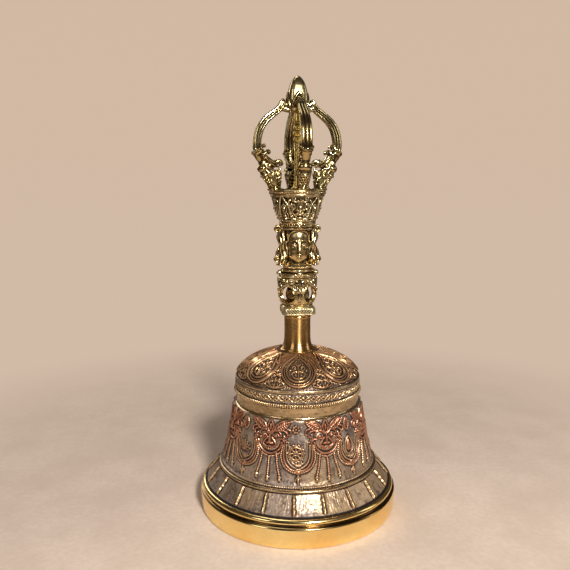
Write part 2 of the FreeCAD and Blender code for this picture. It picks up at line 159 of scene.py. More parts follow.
# ======================================================= relief drawn flat
class Canvas:
    """A height map in millimetres over u (across) and v (up), with a second map for the copper tone."""

    def __init__(self, u0, u1, v0, v1, px=0.08):
        self.px = px
        self.u = np.arange(u0, u1 + px, px)
        self.v = np.arange(v0, v1 + px, px)
        self.h = np.zeros((len(self.v), len(self.u)))
        self.c = np.zeros_like(self.h)

    def _win(self, lo, hi):
        i0 = max(0, int((lo[1] - self.v[0]) / self.px)); i1 = min(len(self.v), int((hi[1] - self.v[0]) / self.px) + 2)
        j0 = max(0, int((lo[0] - self.u[0]) / self.px)); j1 = min(len(self.u), int((hi[0] - self.u[0]) / self.px) + 2)
        if i0 >= i1 or j0 >= j1:
            return None
        return slice(i0, i1), slice(j0, j1)

    def _put(self, w, h, tone, base=0.0):
        on = h > 1e-4
        old = self.h[w]
        new = np.where(on, np.maximum(old, base + h), old)
        self.c[w] = np.where(on & (base + h >= old), tone, self.c[w])
        self.h[w] = new

    def blob(self, u, v, ru, rv=None, h=0.6, ang=0.0, tone=0.3, base=0.0, power=0.5):
        rv = rv or ru
        m = max(ru, rv)
        w = self._win((u - m, v - m), (u + m, v + m))
        if w is None:
            return
        U, V = self.u[None, w[1]] - u, self.v[w[0], None] - v
        c, s = math.cos(ang), math.sin(ang)
        q = ((U * c + V * s) / ru) ** 2 + ((-U * s + V * c) / rv) ** 2
        self._put(w, h * np.maximum(0, 1 - q) ** power, tone, base)

    def stroke(self, pts, r, r1=None, h=0.5, tone=0.3, closed=False, base=0.0, raw=False, power=0.5):
        p = np.asarray(pts, float) if raw else catmull(pts, 0.22, closed)
        n = len(p)
        rad = np.linspace(r, r if r1 is None else r1, n)
        for k in range(n - 1):
            a, b = p[k], p[k + 1]
            m = max(rad[k], rad[k + 1])
            w = self._win(np.minimum(a, b) - m, np.maximum(a, b) + m)
            if w is None:
                continue
            U, V = self.u[None, w[1]], self.v[w[0], None]
            d = b - a
            L = d @ d + 1e-12
            t = np.clip(((U - a[0]) * d[0] + (V - a[1]) * d[1]) / L, 0, 1)
            dist2 = (U - a[0] - t * d[0]) ** 2 + (V - a[1] - t * d[1]) ** 2
            rr = rad[k] + (rad[k + 1] - rad[k]) * t
            self._put(w, h * (rr / max(r, 1e-6)) ** 0.5 * np.maximum(0, 1 - dist2 / rr**2) ** power, tone, base)

    def mirror(self, pts, *a, **k):
        pts = np.asarray(pts, float)
        self.stroke(pts, *a, **k)
        self.stroke(pts * [-1, 1], *a, **k)

    def pearls(self, pts, r, gap, h=0.45, tone=0.3, base=0.0):
        for u, v in even(catmull(pts, 0.2), gap):
            self.blob(u, v, r, r, h, tone=tone, base=base)

    def spiral(self, u, v, R, r, turns=1.4, start=0.0, way=1, h=0.6, tone=0.3, base=0.0, r1=None):
        t = np.linspace(0, 1, int(40 * turns))
        rad = R * (1 - 0.82 * t)
        a = start + way * 2 * np.pi * turns * t
        self.stroke(np.stack([u + rad * np.cos(a), v + rad * np.sin(a)], 1), r, r1 if r1 else r * 0.75, h, tone, raw=True, base=base)

    def fill(self, pts, h=0.4, tone=0.3, edge=0.35, base=0.0):
        """A raised plate with a rounded edge inside a closed outline."""
        p = catmull(pts, 0.3, True)
        lo, hi = p.min(0), p.max(0)
        w = self._win(lo, hi)
        if w is None:
            return
        U, V = np.meshgrid(self.u[w[1]], self.v[w[0]])
        inside = np.zeros(U.shape, bool)
        dist = np.full(U.shape, 1e9)
        for a, b in zip(p, np.roll(p, -1, 0)):
            d = b - a
            L = d @ d + 1e-12
            t = np.clip(((U - a[0]) * d[0] + (V - a[1]) * d[1]) / L, 0, 1)
            dist = np.minimum(dist, (U - a[0] - t * d[0]) ** 2 + (V - a[1] - t * d[1]) ** 2)
            cross = ((a[1] > V) != (b[1] > V)) & (U < (b[0] - a[0]) * (V - a[1]) / (b[1] - a[1] + 1e-12) + a[0])
            inside ^= cross
        q = np.clip(np.sqrt(dist) / edge, 0, 1)
        self._put(w, np.where(inside, h * np.sqrt(np.maximum(0, 1 - (1 - q) ** 2)), 0), tone, base)

    def granulate(self, gap, r, h, seed):
        """Small grains over the parts that are still flat."""
        g = np.random.default_rng(seed)
        for v in np.arange(self.v[0] + gap / 2, self.v[-1], gap):
            for u in np.arange(self.u[0] + gap / 2, self.u[-1], gap):
                a, b = u + g.uniform(-0.35, 0.35) * gap, v + g.uniform(-0.35, 0.35) * gap
                i = int(np.clip((b - self.v[0]) / self.px, 0, len(self.v) - 1)); j = int(np.clip((a - self.u[0]) / self.px, 0, len(self.u) - 1))
                if self.h[i, j] < 0.05:
                    self.blob(a, b, r * g.uniform(0.8, 1.25), h=h * g.uniform(0.6, 1.0), tone=0.25)

    def sample(self, which, u, v):
        m = self.h if which == "h" else self.c
        x = np.clip((u - self.u[0]) / self.px, 0, len(self.u) - 1.001)
        y = np.clip((v - self.v[0]) / self.px, 0, len(self.v) - 1.001)
        x0 = x.astype(int); y0 = y.astype(int)
        fx = x - x0; fy = y - y0
        return (m[y0, x0] * (1 - fx) + m[y0, x0 + 1] * fx) * (1 - fy) + (m[y0 + 1, x0] * (1 - fx) + m[y0 + 1, x0 + 1] * fx) * fy


# =============================================== castings as distance grids
class Casting:
    """A signed distance grid in millimetres (negative inside) that small shapes are melted into."""

    def __init__(self, lo, hi, step):
        self.lo = np.asarray(lo, float)
        self.step = step
        n = np.ceil((np.asarray(hi, float) - self.lo) / step).astype(int) + 1
        self.ax = [self.lo[k] + step * np.arange(n[k]) for k in range(3)]
        self.d = np.full(n, 4.0, np.float32)

    def _win(self, lo, hi, k):
        m = k + 2.5 * self.step
        sl, out = [], []
        for a in range(3):
            i0 = int(np.clip(np.floor((lo[a] - m - self.lo[a]) / self.step), 0, len(self.ax[a]) - 1))
            i1 = int(np.clip(np.ceil((hi[a] + m - self.lo[a]) / self.step) + 1, 0, len(self.ax[a])))
            if i1 <= i0:
                return None
            sl.append(slice(i0, i1))
            shape = [1, 1, 1]; shape[a] = i1 - i0
            out.append(self.ax[a][i0:i1].reshape(shape))
        return tuple(sl), out

    def _mix(self, sl, d, k, cut):
        a = self.d[sl]
        if cut:
            d = -d
            if k > 0:
                h = np.maximum(k - np.abs(a - d), 0) / k
                self.d[sl] = np.maximum(a, d) + h * h * k / 4
            else:
                self.d[sl] = np.maximum(a, d)
        else:
            if k > 0:
                h = np.maximum(k - np.abs(a - d), 0) / k
                self.d[sl] = np.minimum(a, d) - h * h * k / 4
            else:
                self.d[sl] = np.minimum(a, d)

    def ball(self, c, r, k=0.3, R=None, cut=False):
        """Sphere, or an ellipsoid where r has three radii; R turns it."""
        c = np.asarray(c, float)
        r = np.full(3, float(r)) if np.isscalar(r) else np.asarray(r, float)
        m = r.max() if R is not None else r
        w = self._win(c - m, c + m, k)
        if w is None:
            return
        sl, (X, Y, Z) = w
        x, y, z = X - c[0], Y - c[1], Z - c[2]
        if R is not None:
            x, y, z = (R[0][0] * x + R[1][0] * y + R[2][0] * z, R[0][1] * x + R[1][1] * y + R[2][1] * z,
                       R[0][2] * x + R[1][2] * y + R[2][2] * z)
        if r.max() - r.min() < 1e-9:
            d = np.sqrt(x * x + y * y + z * z) - r[0]
        else:
            k0 = np.sqrt((x / r[0]) ** 2 + (y / r[1]) ** 2 + (z / r[2]) ** 2)
            k1 = np.sqrt((x / r[0] ** 2) ** 2 + (y / r[1] ** 2) ** 2 + (z / r[2] ** 2) ** 2) + 1e-9
            d = k0 * (k0 - 1) / k1
        self._mix(sl, d, k, cut)

    def tube(self, pts, r, r1=None, k=0.3, flat=(1, 1, 1), raw=False, step=0.45, cut=False, closed=False):
        """A round bar along a curve; flat stretches its section along the axes (2 = twice as wide)."""
        p = np.asarray(pts, float) if raw else catmull(pts, step, closed)
        n = len(p)
        if r1 is None:
            rad = np.full(n, float(r))
        elif np.ndim(r1) == 0:
            rad = np.linspace(r, r1, n)
        else:
            rad = np.interp(np.linspace(0, 1, n), np.linspace(0, 1, len(r1)), r1)
        f = np.asarray(flat, float)
        for i in range(n - 1):
            a, b = p[i], p[i + 1]
            m = max(rad[i], rad[i + 1]) * f
            w = self._win(np.minimum(a, b) - m, np.maximum(a, b) + m, k)
            if w is None:
                continue
            sl, (X, Y, Z) = w
            x, y, z = (X - a[0]) / f[0], (Y - a[1]) / f[1], (Z - a[2]) / f[2]
            d = (b - a) / f
            L = d @ d + 1e-12
            t = np.clip((x * d[0] + y * d[1] + z * d[2]) / L, 0, 1)
            dist = np.sqrt((x - t * d[0]) ** 2 + (y - t * d[1]) ** 2 + (z - t * d[2]) ** 2)
            self._mix(sl, dist - (rad[i] + (rad[i + 1] - rad[i]) * t), k, cut)

    def torus(self, c, R, r, axis=2, k=0.2, cut=False):
        c = np.asarray(c, float)
        m = np.full(3, R + r); m[axis] = r
        w = self._win(c - m, c + m, k)
        if w is None:
            return
        sl, P = w
        q = [P[i] - c[i] for i in range(3)]
        o = [i for i in range(3) if i != axis]
        d = np.sqrt((np.sqrt(q[o[0]] ** 2 + q[o[1]] ** 2) - R) ** 2 + q[axis] ** 2) - r
        self._mix(sl, d, k, cut)

    def block(self, c, half, rnd=0.2, k=0.2, R=None, cut=False):
        c = np.asarray(c, float); half = np.asarray(half, float)
        m = np.full(3, np.linalg.norm(half)) if R is not None else half
        w = self._win(c - m, c + m, k)
        if w is None:
            return
        sl, (X, Y, Z) = w
        x, y, z = X - c[0], Y - c[1], Z - c[2]
        if R is not None:
            x, y, z = (R[0][0] * x + R[1][0] * y + R[2][0] * z, R[0][1] * x + R[1][1] * y + R[2][1] * z,
                       R[0][2] * x + R[1][2] * y + R[2][2] * z)
        qx, qy, qz = np.abs(x) - half[0] + rnd, np.abs(y) - half[1] + rnd, np.abs(z) - half[2] + rnd
        d = np.sqrt(np.maximum(qx, 0) ** 2 + np.maximum(qy, 0) ** 2 + np.maximum(qz, 0) ** 2) + np.minimum(np.maximum(qx, np.maximum(qy, qz)), 0) - rnd
        self._mix(sl, d, k, cut)

    def lathe(self, prof, k=0.2, cut=False, rmax=None, four=None):
        """A turned solid from a closed outline of (radius, z) points. four(angle) scales the radius round the axis."""
        prof = np.asarray(prof, float)
        R = prof[:, 0].max()
        lo = (-R * 1.5, -R * 1.5, prof[:, 1].min()); hi = (R * 1.5, R * 1.5, prof[:, 1].max())
        w = self._win(lo, hi, k)
        sl, (X, Y, Z) = w
        rho = np.sqrt(X * X + Y * Y)[:, :, 0]
        if four is not None:
            rho = rho / four(np.arctan2(X, -Y)[:, :, 0])
        z = Z.ravel()
        rr = np.arange(0, rho.max() + 0.2, 0.06)
        table = poly_distance(prof, rr[:, None], z[None, :])
        x = rho / 0.06
        i = np.minimum(x.astype(int), len(rr) - 2)
        f = (x - i)[..., None]
        d = table[i] * (1 - f) + table[i + 1] * f
        self._mix(sl, d, k, cut)

    def plate(self, outline, half, axis=1, c=0.0, rnd=0.3, k=0.25, cut=False):
        """A flat plate of the closed outline in the XZ plane, half thick each way; axis is not used."""
        p = np.asarray(outline, float)
        lo = np.array([p[:, 0].min(), c - half, p[:, 1].min()]); hi = np.array([p[:, 0].max(), c + half, p[:, 1].max()])
        w = self._win(lo, hi, k)
        sl, (X, Y, Z) = w
        d2 = poly_distance(p, X[:, 0, 0][:, None], Z[0, 0, :][None, :])[:, None, :] + rnd
        dy = np.abs(Y - c) - half + rnd
        d = np.sqrt(np.maximum(d2, 0) ** 2 + np.maximum(dy, 0) ** 2) + np.minimum(np.maximum(d2, dy), 0) - rnd
        self._mix(sl, d, k, cut)

    def cavity(self, pts, rad):
        """How buried each point is, from -1 on sharp edges through 0 on a flat to 1 in deep corners."""
        solid = np.clip(0.5 - self.d / self.step, 0, 1).astype(np.float32)
        n = max(1, int(round(rad / self.step / 1.7)))
        for _ in range(2):
            for a in range(3):
                solid = box_blur(solid, n, a)
        return (self.at(solid, pts) - 0.5) * 2

    def at(self, grid, pts):
        q = (pts - self.lo) / self.step
        q = np.clip(q, 0, np.array(grid.shape) - 1.001)
        i = q.astype(int); f = q - i
        out = 0
        for dx in (0, 1):
            for dy in (0, 1):
                for dz in (0, 1):
                    w = (f[:, 0] if dx else 1 - f[:, 0]) * (f[:, 1] if dy else 1 - f[:, 1]) * (f[:, 2] if dz else 1 - f[:, 2])
                    out = out + w * grid[i[:, 0] + dx, i[:, 1] + dy, i[:, 2] + dz]
        return out

    def skin(self, relax=1):
        """Surface-net vertices and quads of the zero level."""
        d = self.d
        d[[0, -1]] = 1; d[:, [0, -1]] = 1; d[:, :, [0, -1]] = 1
        s = d < 0
        c = np.zeros(np.array(s.shape) - 1, np.uint8)
        for dx in (0, 1):
            for dy in (0, 1):
                for dz in (0, 1):
                    c += s[dx:dx + c.shape[0], dy:dy + c.shape[1], dz:dz + c.shape[2]]
        mixed = (c > 0) & (c < 8)
        cell = np.argwhere(mixed)
        index = np.full(c.shape, -1, np.int32)
        index[mixed] = np.arange(len(cell), dtype=np.int32)
        corner = {}
        for dx in (0, 1):
            for dy in (0, 1):
                for dz in (0, 1):
                    corner[dx, dy, dz] = d[cell[:, 0] + dx, cell[:, 1] + dy, cell[:, 2] + dz].astype(np.float64)
        acc = np.zeros((len(cell), 3)); cnt = np.zeros(len(cell))
        for a in range(3):
            for e in range(4):
                o = [e & 1, e >> 1]
                o.insert(a, 0)
                q = list(o); q[a] = 1
                d0, d1 = corner[tuple(o)], corner[tuple(q)]
                hit = (d0 < 0) != (d1 < 0)
                t = np.where(hit, d0 / np.where(hit, d0 - d1, 1), 0)
                p = np.tile(np.array(o, float), (len(cell), 1)); p[:, a] = t
                acc += np.where(hit[:, None], p, 0); cnt += hit
        v = cell + acc / cnt[:, None]
        quads = []
        for a in range(3):
            lo = [slice(None)] * 3; hi = [slice(None)] * 3
            lo[a] = slice(0, -1); hi[a] = slice(1, None)
            flip = s[tuple(lo)] != s[tuple(hi)]
            e = np.argwhere(flip)
            o = [i for i in range(3) if i != a]
            ok = (e[:, o[0]] > 0) & (e[:, o[1]] > 0) & (e[:, o[0]] < c.shape[o[0]]) & (e[:, o[1]] < c.shape[o[1]])
            e = e[ok]
            inside = s[e[:, 0], e[:, 1], e[:, 2]]
            k = []
            for da, db in ((-1, -1), (0, -1), (0, 0), (-1, 0)):
                g = e.copy(); g[:, o[0]] += da; g[:, o[1]] += db
                k.append(index[g[:, 0], g[:, 1], g[:, 2]])
            k = np.stack(k, 1)
            turn = inside if a != 1 else ~inside
            k = np.where(turn[:, None], k, k[:, ::-1])
            quads.append(k)
        quads = np.vstack(quads)
        v = self.lo + v * self.step
        for _ in range(relax):
            v = relax_once(v, quads)
        # One pull back to the true surface along the grid's gradient.
        for _ in range(1):
            g = np.stack([self.at(self.d, v + e) - self.at(self.d, v - e) for e in np.eye(3) * self.step * 0.6], 1) / (1.2 * self.step)
            n2 = np.maximum((g * g).sum(1), 0.15)
            v = v - np.clip(self.at(self.d, v) / n2, -self.step, self.step)[:, None] * g * 0.8
        return v, quads


def relax_once(v, quads, amount=0.5):
    acc = np.zeros_like(v); cnt = np.zeros(len(v))
    for a in range(4):
        i, j = quads[:, a], quads[:, (a + 1) % 4]
        for col in range(3):
            acc[:, col] += np.bincount(i, v[j, col], len(v)) + np.bincount(j, v[i, col], len(v))
        cnt += np.bincount(i, minlength=len(v)) + np.bincount(j, minlength=len(v))
    return v + amount * (acc / np.maximum(cnt, 1)[:, None] - v)


def poly_distance(p, x, y):
    """Signed distance (negative inside) from points to a closed polygon."""
    x, y = np.broadcast_arrays(x, y)
    best = np.full(x.shape, 1e9); inside = np.zeros(x.shape, bool)
    for a, b in zip(p, np.roll(p, -1, 0)):
        d = b - a
        L = d @ d + 1e-12
        t = np.clip(((x - a[0]) * d[0] + (y - a[1]) * d[1]) / L, 0, 1)
        best = np.minimum(best, (x - a[0] - t * d[0]) ** 2 + (y - a[1] - t * d[1]) ** 2)
        if a[1] != b[1]:
            inside ^= ((a[1] > y) != (b[1] > y)) & (x < (b[0] - a[0]) * (y - a[1]) / (b[1] - a[1]) + a[0])
    best = np.sqrt(best)
    return np.where(inside, -best, best)


def about_z(pts, deg):
    """Points turned about the axis by deg, from the front towards +X."""
    a = math.radians(deg)
    p = np.atleast_2d(np.asarray(pts, float))
    return np.stack([p[:, 0] * math.cos(a) - p[:, 1] * math.sin(a), p[:, 0] * math.sin(a) + p[:, 1] * math.cos(a), p[:, 2]], 1)


def turn_z(deg):
    a = math.radians(deg)
    return np.array([[math.cos(a), -math.sin(a), 0], [math.sin(a), math.cos(a), 0], [0, 0, 1]])


# ================================================================ materials
class Mat:
    """A small node-tree writer."""

    def __init__(self, name):
        self.m = bpy.data.materials.new(name)
        self.m.use_nodes = True
        self.t = self.m.node_tree
        self.t.nodes.clear()
        self.out = self.t.nodes.new("ShaderNodeOutputMaterial")
        self.b = self.t.nodes.new("ShaderNodeBsdfPrincipled")
        self.t.links.new(self.b.outputs[0], self.out.inputs["Surface"])
        self.pos = self.t.nodes.new("ShaderNodeTexCoord").outputs["Object"]

    def link(self, a, b):
        self.t.links.new(a, b)

    def attr(self, name):
        n = self.t.nodes.new("ShaderNodeAttribute")
        n.attribute_name = name
        return n.outputs["Fac"]

    def noise(self, scale, detail=3.0, rough=0.55, stretch=None, distort=0.0):
        n = self.t.nodes.new("ShaderNodeTexNoise")
        n.inputs["Scale"].default_value = scale
        n.inputs["Detail"].default_value = detail
        n.inputs["Roughness"].default_value = rough
        n.inputs["Distortion"].default_value = distort
        if stretch is None:
            self.link(self.pos, n.inputs["Vector"])
        else:
            mp = self.t.nodes.new("ShaderNodeMapping")
            mp.inputs["Scale"].default_value = stretch
            self.link(self.pos, mp.inputs["Vector"])
            self.link(mp.outputs[0], n.inputs["Vector"])
        return n.outputs["Fac"]

    def math(self, op, a, b=None, clamp=False):
        n = self.t.nodes.new("ShaderNodeMath")
        n.operation = op
        n.use_clamp = clamp
        for i, v in enumerate((a, b)):
            if v is None:
                continue
            if isinstance(v, (int, float)):
                n.inputs[i].default_value = v
            else:
                self.link(v, n.inputs[i])
        return n.outputs[0]

    def span(self, v, a, b, c=0.0, d=1.0, smooth=True):
        n = self.t.nodes.new("ShaderNodeMapRange")
        n.interpolation_type = "SMOOTHSTEP" if smooth else "LINEAR"
        self.link(v, n.inputs["Value"])
        for key, x in (("From Min", a), ("From Max", b), ("To Min", c), ("To Max", d)):
            n.inputs[key].default_value = x
        return n.outputs["Result"]

    def mix(self, fac, a, b, mode="MIX"):
        n = self.t.nodes.new("ShaderNodeMix")
        n.data_type = "RGBA"
        n.blend_type = mode
        if isinstance(fac, (int, float)):
            n.inputs[0].default_value = fac
        else:
            self.link(fac, n.inputs[0])
        for i, v in ((6, a), (7, b)):
            if isinstance(v, tuple):
                n.inputs[i].default_value = (*v, 1.0)
            else:
                self.link(v, n.inputs[i])
        return n.outputs[2]

    def colour(self, v):
        if isinstance(v, tuple):
            self.b.inputs["Base Color"].default_value = (*v, 1.0)
        else:
            self.link(v, self.b.inputs["Base Color"])

    def rough(self, v):
        if isinstance(v, (int, float)):
            self.b.inputs["Roughness"].default_value = v
        else:
            self.link(v, self.b.inputs["Roughness"])

    def brushed(self, amount, turn=0.25):
        """Stretches the highlights across fine turning marks that run round the vertical axis."""
        n = self.t.nodes.new("ShaderNodeTangent")
        n.direction_type = "RADIAL"
        n.axis = "Z"
        self.link(n.outputs[0], self.b.inputs["Tangent"])
        self.b.inputs["Anisotropic"].default_value = amount
        self.b.inputs["Anisotropic Rotation"].default_value = turn

    def bump(self, *heights, strength=0.3, distance=0.0001):
        prev = None
        for h, s, dist in heights:
            n = self.t.nodes.new("ShaderNodeBump")
            n.inputs["Strength"].default_value = s
            n.inputs["Distance"].default_value = dist
            self.link(h, n.inputs["Height"])
            if prev is not None:
                self.link(prev, n.inputs["Normal"])
            prev = n.outputs[0]
        self.link(prev, self.b.inputs["Normal"])


def antique_brass(name, bright=(0.68, 0.57, 0.31), deep=(0.036, 0.025, 0.013), warm=(0.62, 0.45, 0.20), worn=-0.06, polish=0.2, metal=1.0):
    """Polished cast brass with dark tarnish left in the hollows."""
    m = Mat(name)
    m.b.inputs["Metallic"].default_value = metal
    fine, broad = m.attr("cav_fine"), m.attr("cav_broad")
    grain = m.noise(900, 4, 0.6)
    cloud = m.noise(120, 3, 0.55)
    big = m.noise(38, 2, 0.5)
    both = m.math("ADD", m.math("MULTIPLY", fine, 1.25), m.math("MULTIPLY", broad, 1.15))
    both = m.math("ADD", both, m.math("MULTIPLY", m.math("SUBTRACT", grain, 0.5), 0.28))
    both = m.math("ADD", both, m.math("MULTIPLY", m.math("SUBTRACT", cloud, 0.5), 0.30))
    dark = m.span(both, 0.0 + worn, 0.46 + worn)
    body = m.mix(m.span(big, 0.38, 0.62), bright, warm)
    body = m.mix(m.span(cloud, 0.35, 0.8, 0.0, 0.45), body, (bright[0] * 0.62, bright[1] * 0.60, bright[2] * 0.55))
    m.colour(m.mix(dark, body, deep))
    r = m.span(cloud, 0.3, 0.75, polish - 0.05, polish + 0.12)
    r = m.math("ADD", r, m.math("MULTIPLY", dark, 0.34), clamp=True)
    m.rough(r)
    m.bump((m.noise(1500, 3, 0.6), 0.25, 0.00005), (m.noise(420, 3, 0.55), 0.35, 0.00012))
    return m.m


def polished_brass(name, colour=(0.90, 0.56, 0.20), other=(0.80, 0.44, 0.13), rough=(0.10, 0.2), brush=(30, 30, 900), marks=0.3, stretch=0.0, hollow=None):
    """Buffed brass: fine turning lines, faint smears and a few pits."""
    m = Mat(name)
    m.b.inputs["Metallic"].default_value = 1.0
    big = m.noise(42, 3, 0.55)
    lines = m.noise(1.0, 3, 0.6, stretch=brush)
    pits = m.noise(1300, 2, 0.5)
    body = m.mix(m.span(big, 0.35, 0.68), colour, other)
    body = m.mix(m.span(pits, 0.68, 0.80, 0.0, marks), body, (0.16, 0.08, 0.03))
    if hollow:
        # a dark band painted into the turned hollow between the heights given, as a painted reflection of a dark room
        sep = m.t.nodes.new("ShaderNodeSeparateXYZ")
        m.link(m.pos, sep.inputs[0])
        painted_reflection_band = m.math("MULTIPLY", m.span(sep.outputs["Z"], hollow[0] - 0.0006, hollow[0]), m.span(sep.outputs["Z"], hollow[1], hollow[1] + 0.0007, 1.0, 0.0))
        body = m.mix(m.math("MULTIPLY", painted_reflection_band, m.span(big, 0.3, 0.6, 0.78, 0.95)), body, (0.12, 0.062, 0.022))
    m.colour(body)
    r = m.span(big, 0.3, 0.7, rough[0], rough[1])
    r = m.math("ADD", r, m.math("MULTIPLY", m.math("SUBTRACT", lines, 0.5), 0.10), clamp=True)
    m.rough(r)
    m.bump((lines, 0.10, 0.00004), (m.noise(260, 3, 0.5), 0.10, 0.00010))
    if stretch:
        m.brushed(stretch)
    return m.m


def bell_patina(name, pale=(0.500, 0.395, 0.325), dim=(0.175, 0.128, 0.108), golden=(0.460, 0.320, 0.180), speck_and_painted_glint=(0.78, 0.63, 0.48),
                worn_a=(0.64, 0.435, 0.225), worn_b=(0.48, 0.295, 0.145), cop_a=(0.58, 0.275, 0.155), cop_b=(0.39, 0.180, 0.105), metal=0.68):
    """Dark cast bronze: oxide in the ground, worn gold on the high relief and copper where the masks are rubbed."""
    m = Mat(name)
    m.b.inputs["Metallic"].default_value = metal
    up, cop, cav = m.attr("relief"), m.attr("copper"), m.attr("cav_fine")
    gold = m.attr("gold")
    cloud = m.noise(95, 4, 0.6)
    grain = m.noise(700, 4, 0.65)
    big = m.noise(30, 3, 0.55)
    ground = m.mix(m.span(cloud, 0.35, 0.68), pale, dim)
    ground = m.mix(m.span(big, 0.44, 0.64, 0.0, 0.8), ground, golden)
    # pale specks in the ground, made bright enough to also stand in as painted glints
    ground = m.mix(m.span(grain, 0.54, 0.70, 0.0, 0.62), ground, speck_and_painted_glint)
    spot = m.noise(310, 5, 0.68, distort=0.6)
    ground = m.mix(m.span(spot, 0.49, 0.63, 0.0, 0.72), ground, (dim[0] * 0.52, dim[1] * 0.48, dim[2] * 0.45))
    worn = m.mix(m.span(cloud, 0.3, 0.7), worn_a, worn_b)
    copper = m.mix(m.span(grain, 0.35, 0.65), cop_a, cop_b)
    raised = m.mix(m.span(m.math("ADD", cop, m.math("MULTIPLY", m.math("SUBTRACT", cloud, 0.5), 0.7)), 0.2, 0.95), worn, copper)
    edge = m.math("ADD", m.math("MULTIPLY", up, 1.0), m.math("MULTIPLY", cav, -0.7))
    edge = m.math("ADD", edge, m.math("MULTIPLY", m.math("SUBTRACT", grain, 0.5), 0.5))
    edge = m.math("ADD", edge, m.math("MULTIPLY", m.math("SUBTRACT", cloud, 0.5), 0.35))
    col = m.mix(m.span(edge, 0.12, 0.62), ground, raised)
    col = m.mix(m.span(m.math("ADD", cav, m.math("MULTIPLY", m.math("SUBTRACT", grain, 0.5), 0.3)), 0.02, 0.34), col, (0.024, 0.017, 0.014))
    satin = m.mix(m.span(cloud, 0.3, 0.7), (0.72, 0.54, 0.31), (0.50, 0.36, 0.19))
    gmask = m.math("MULTIPLY", gold, m.span(m.math("ADD", grain, m.math("MULTIPLY", cav, -0.6)), 0.18, 0.5))
    col = m.mix(gmask, col, satin)
    m.colour(col)
    m.link(m.span(gold, 0.0, 1.0, metal, 1.0), m.b.inputs["Metallic"])
    r = m.span(cloud, 0.3, 0.7, 0.30, 0.44)
    r = m.math("ADD", r, m.math("MULTIPLY", m.span(edge, 0.2, 0.7), -0.05))
    r = m.math("ADD", r, m.math("MULTIPLY", gold, -0.13))
    r = m.math("ADD", r, m.math("MULTIPLY", m.span(cav, 0.1, 0.5), 0.2), clamp=True)
    m.rough(r)
    m.bump((grain, 0.35, 0.00012), (m.noise(1900, 3, 0.6), 0.3, 0.00005))
    return m.m


def iron(name, base=(0.10, 0.085, 0.075), rust=(0.16, 0.075, 0.035)):
    m = Mat(name)
    m.b.inputs["Metallic"].default_value = 0.85
    cloud = m.noise(160, 5, 0.6)
    m.colour(m.mix(m.span(cloud, 0.42, 0.68), base, rust))
    m.rough(m.span(cloud, 0.3, 0.75, 0.38, 0.72))
    m.bump((m.noise(700, 4, 0.6), 0.4, 0.00012))
    return m.m


BRASS = antique_brass("antique_brass", bright=(0.80, 0.67, 0.39), warm=(0.73, 0.53, 0.25), worn=-0.03)
BRASS_CROWN = antique_brass("antique_brass_crown", bright=(0.77, 0.66, 0.42), warm=(0.67, 0.52, 0.29), worn=-0.20, polish=0.22)
BRASS_PLINTH = antique_brass("antique_brass_plinth", bright=(0.98, 0.87, 0.55), warm=(0.95, 0.80, 0.46), worn=-0.04, polish=0.28, metal=0.92)
BRASS_COLLAR = antique_brass("antique_brass_collar", bright=(0.97, 0.82, 0.50), warm=(0.92, 0.70, 0.36), worn=0.06, polish=0.20)
BRASS_VAJRA = antique_brass("antique_brass_vajra", bright=(0.68, 0.57, 0.30), warm=(0.60, 0.43, 0.18), worn=-0.10, polish=0.16)
STEM_BRASS = polished_brass("polished_ferrule_brass", colour=(0.80, 0.52, 0.21), other=(0.66, 0.39, 0.14), rough=(0.22, 0.30), stretch=0.85)
# the lip's turned hollow gets a dark band painted in as a reflection of a dark room
LIP_BRASS = polished_brass("polished_lip_bronze", colour=(1.0, 0.79, 0.36), other=(0.96, 0.67, 0.25), rough=(0.12, 0.2), brush=(20, 20, 1200), marks=0.25, hollow=(0.0096, 0.0106))
PATINA = bell_patina("bell_patina")
PATINA_WAIST = bell_patina("bell_patina_waist", worn_a=(0.56, 0.360, 0.195), worn_b=(0.38, 0.215, 0.115), cop_a=(0.54, 0.235, 0.125), cop_b=(0.33, 0.135, 0.078))
PATINA_DOME = bell_patina("bell_patina_dome", pale=(0.180, 0.118, 0.088), dim=(0.085, 0.053, 0.041), golden=(0.240, 0.145, 0.070), speck_and_painted_glint=(0.30, 0.21, 0.13),
                          worn_a=(0.49, 0.295, 0.140), worn_b=(0.34, 0.185, 0.085), metal=0.74)
INSIDE = polished_brass("turned_bell_inside", colour=(0.48, 0.34, 0.17), other=(0.33, 0.22, 0.11), rough=(0.34, 0.5), brush=(10, 10, 1500), marks=0.6)
IRON = iron("oiled_iron")
WIRE = iron("link_wire", (0.26, 0.24, 0.22), (0.20, 0.13, 0.08))

# =================================================================== the bell
# Angles of the cast pattern on the bell, in degrees from the front towards +X.
MEDALLION_DEG = -6.6
PETAL_DEG = -6.0
RIDGE_DEG = -9.2
R_REF = 33.5
SECTOR = math.radians(45) * R_REF


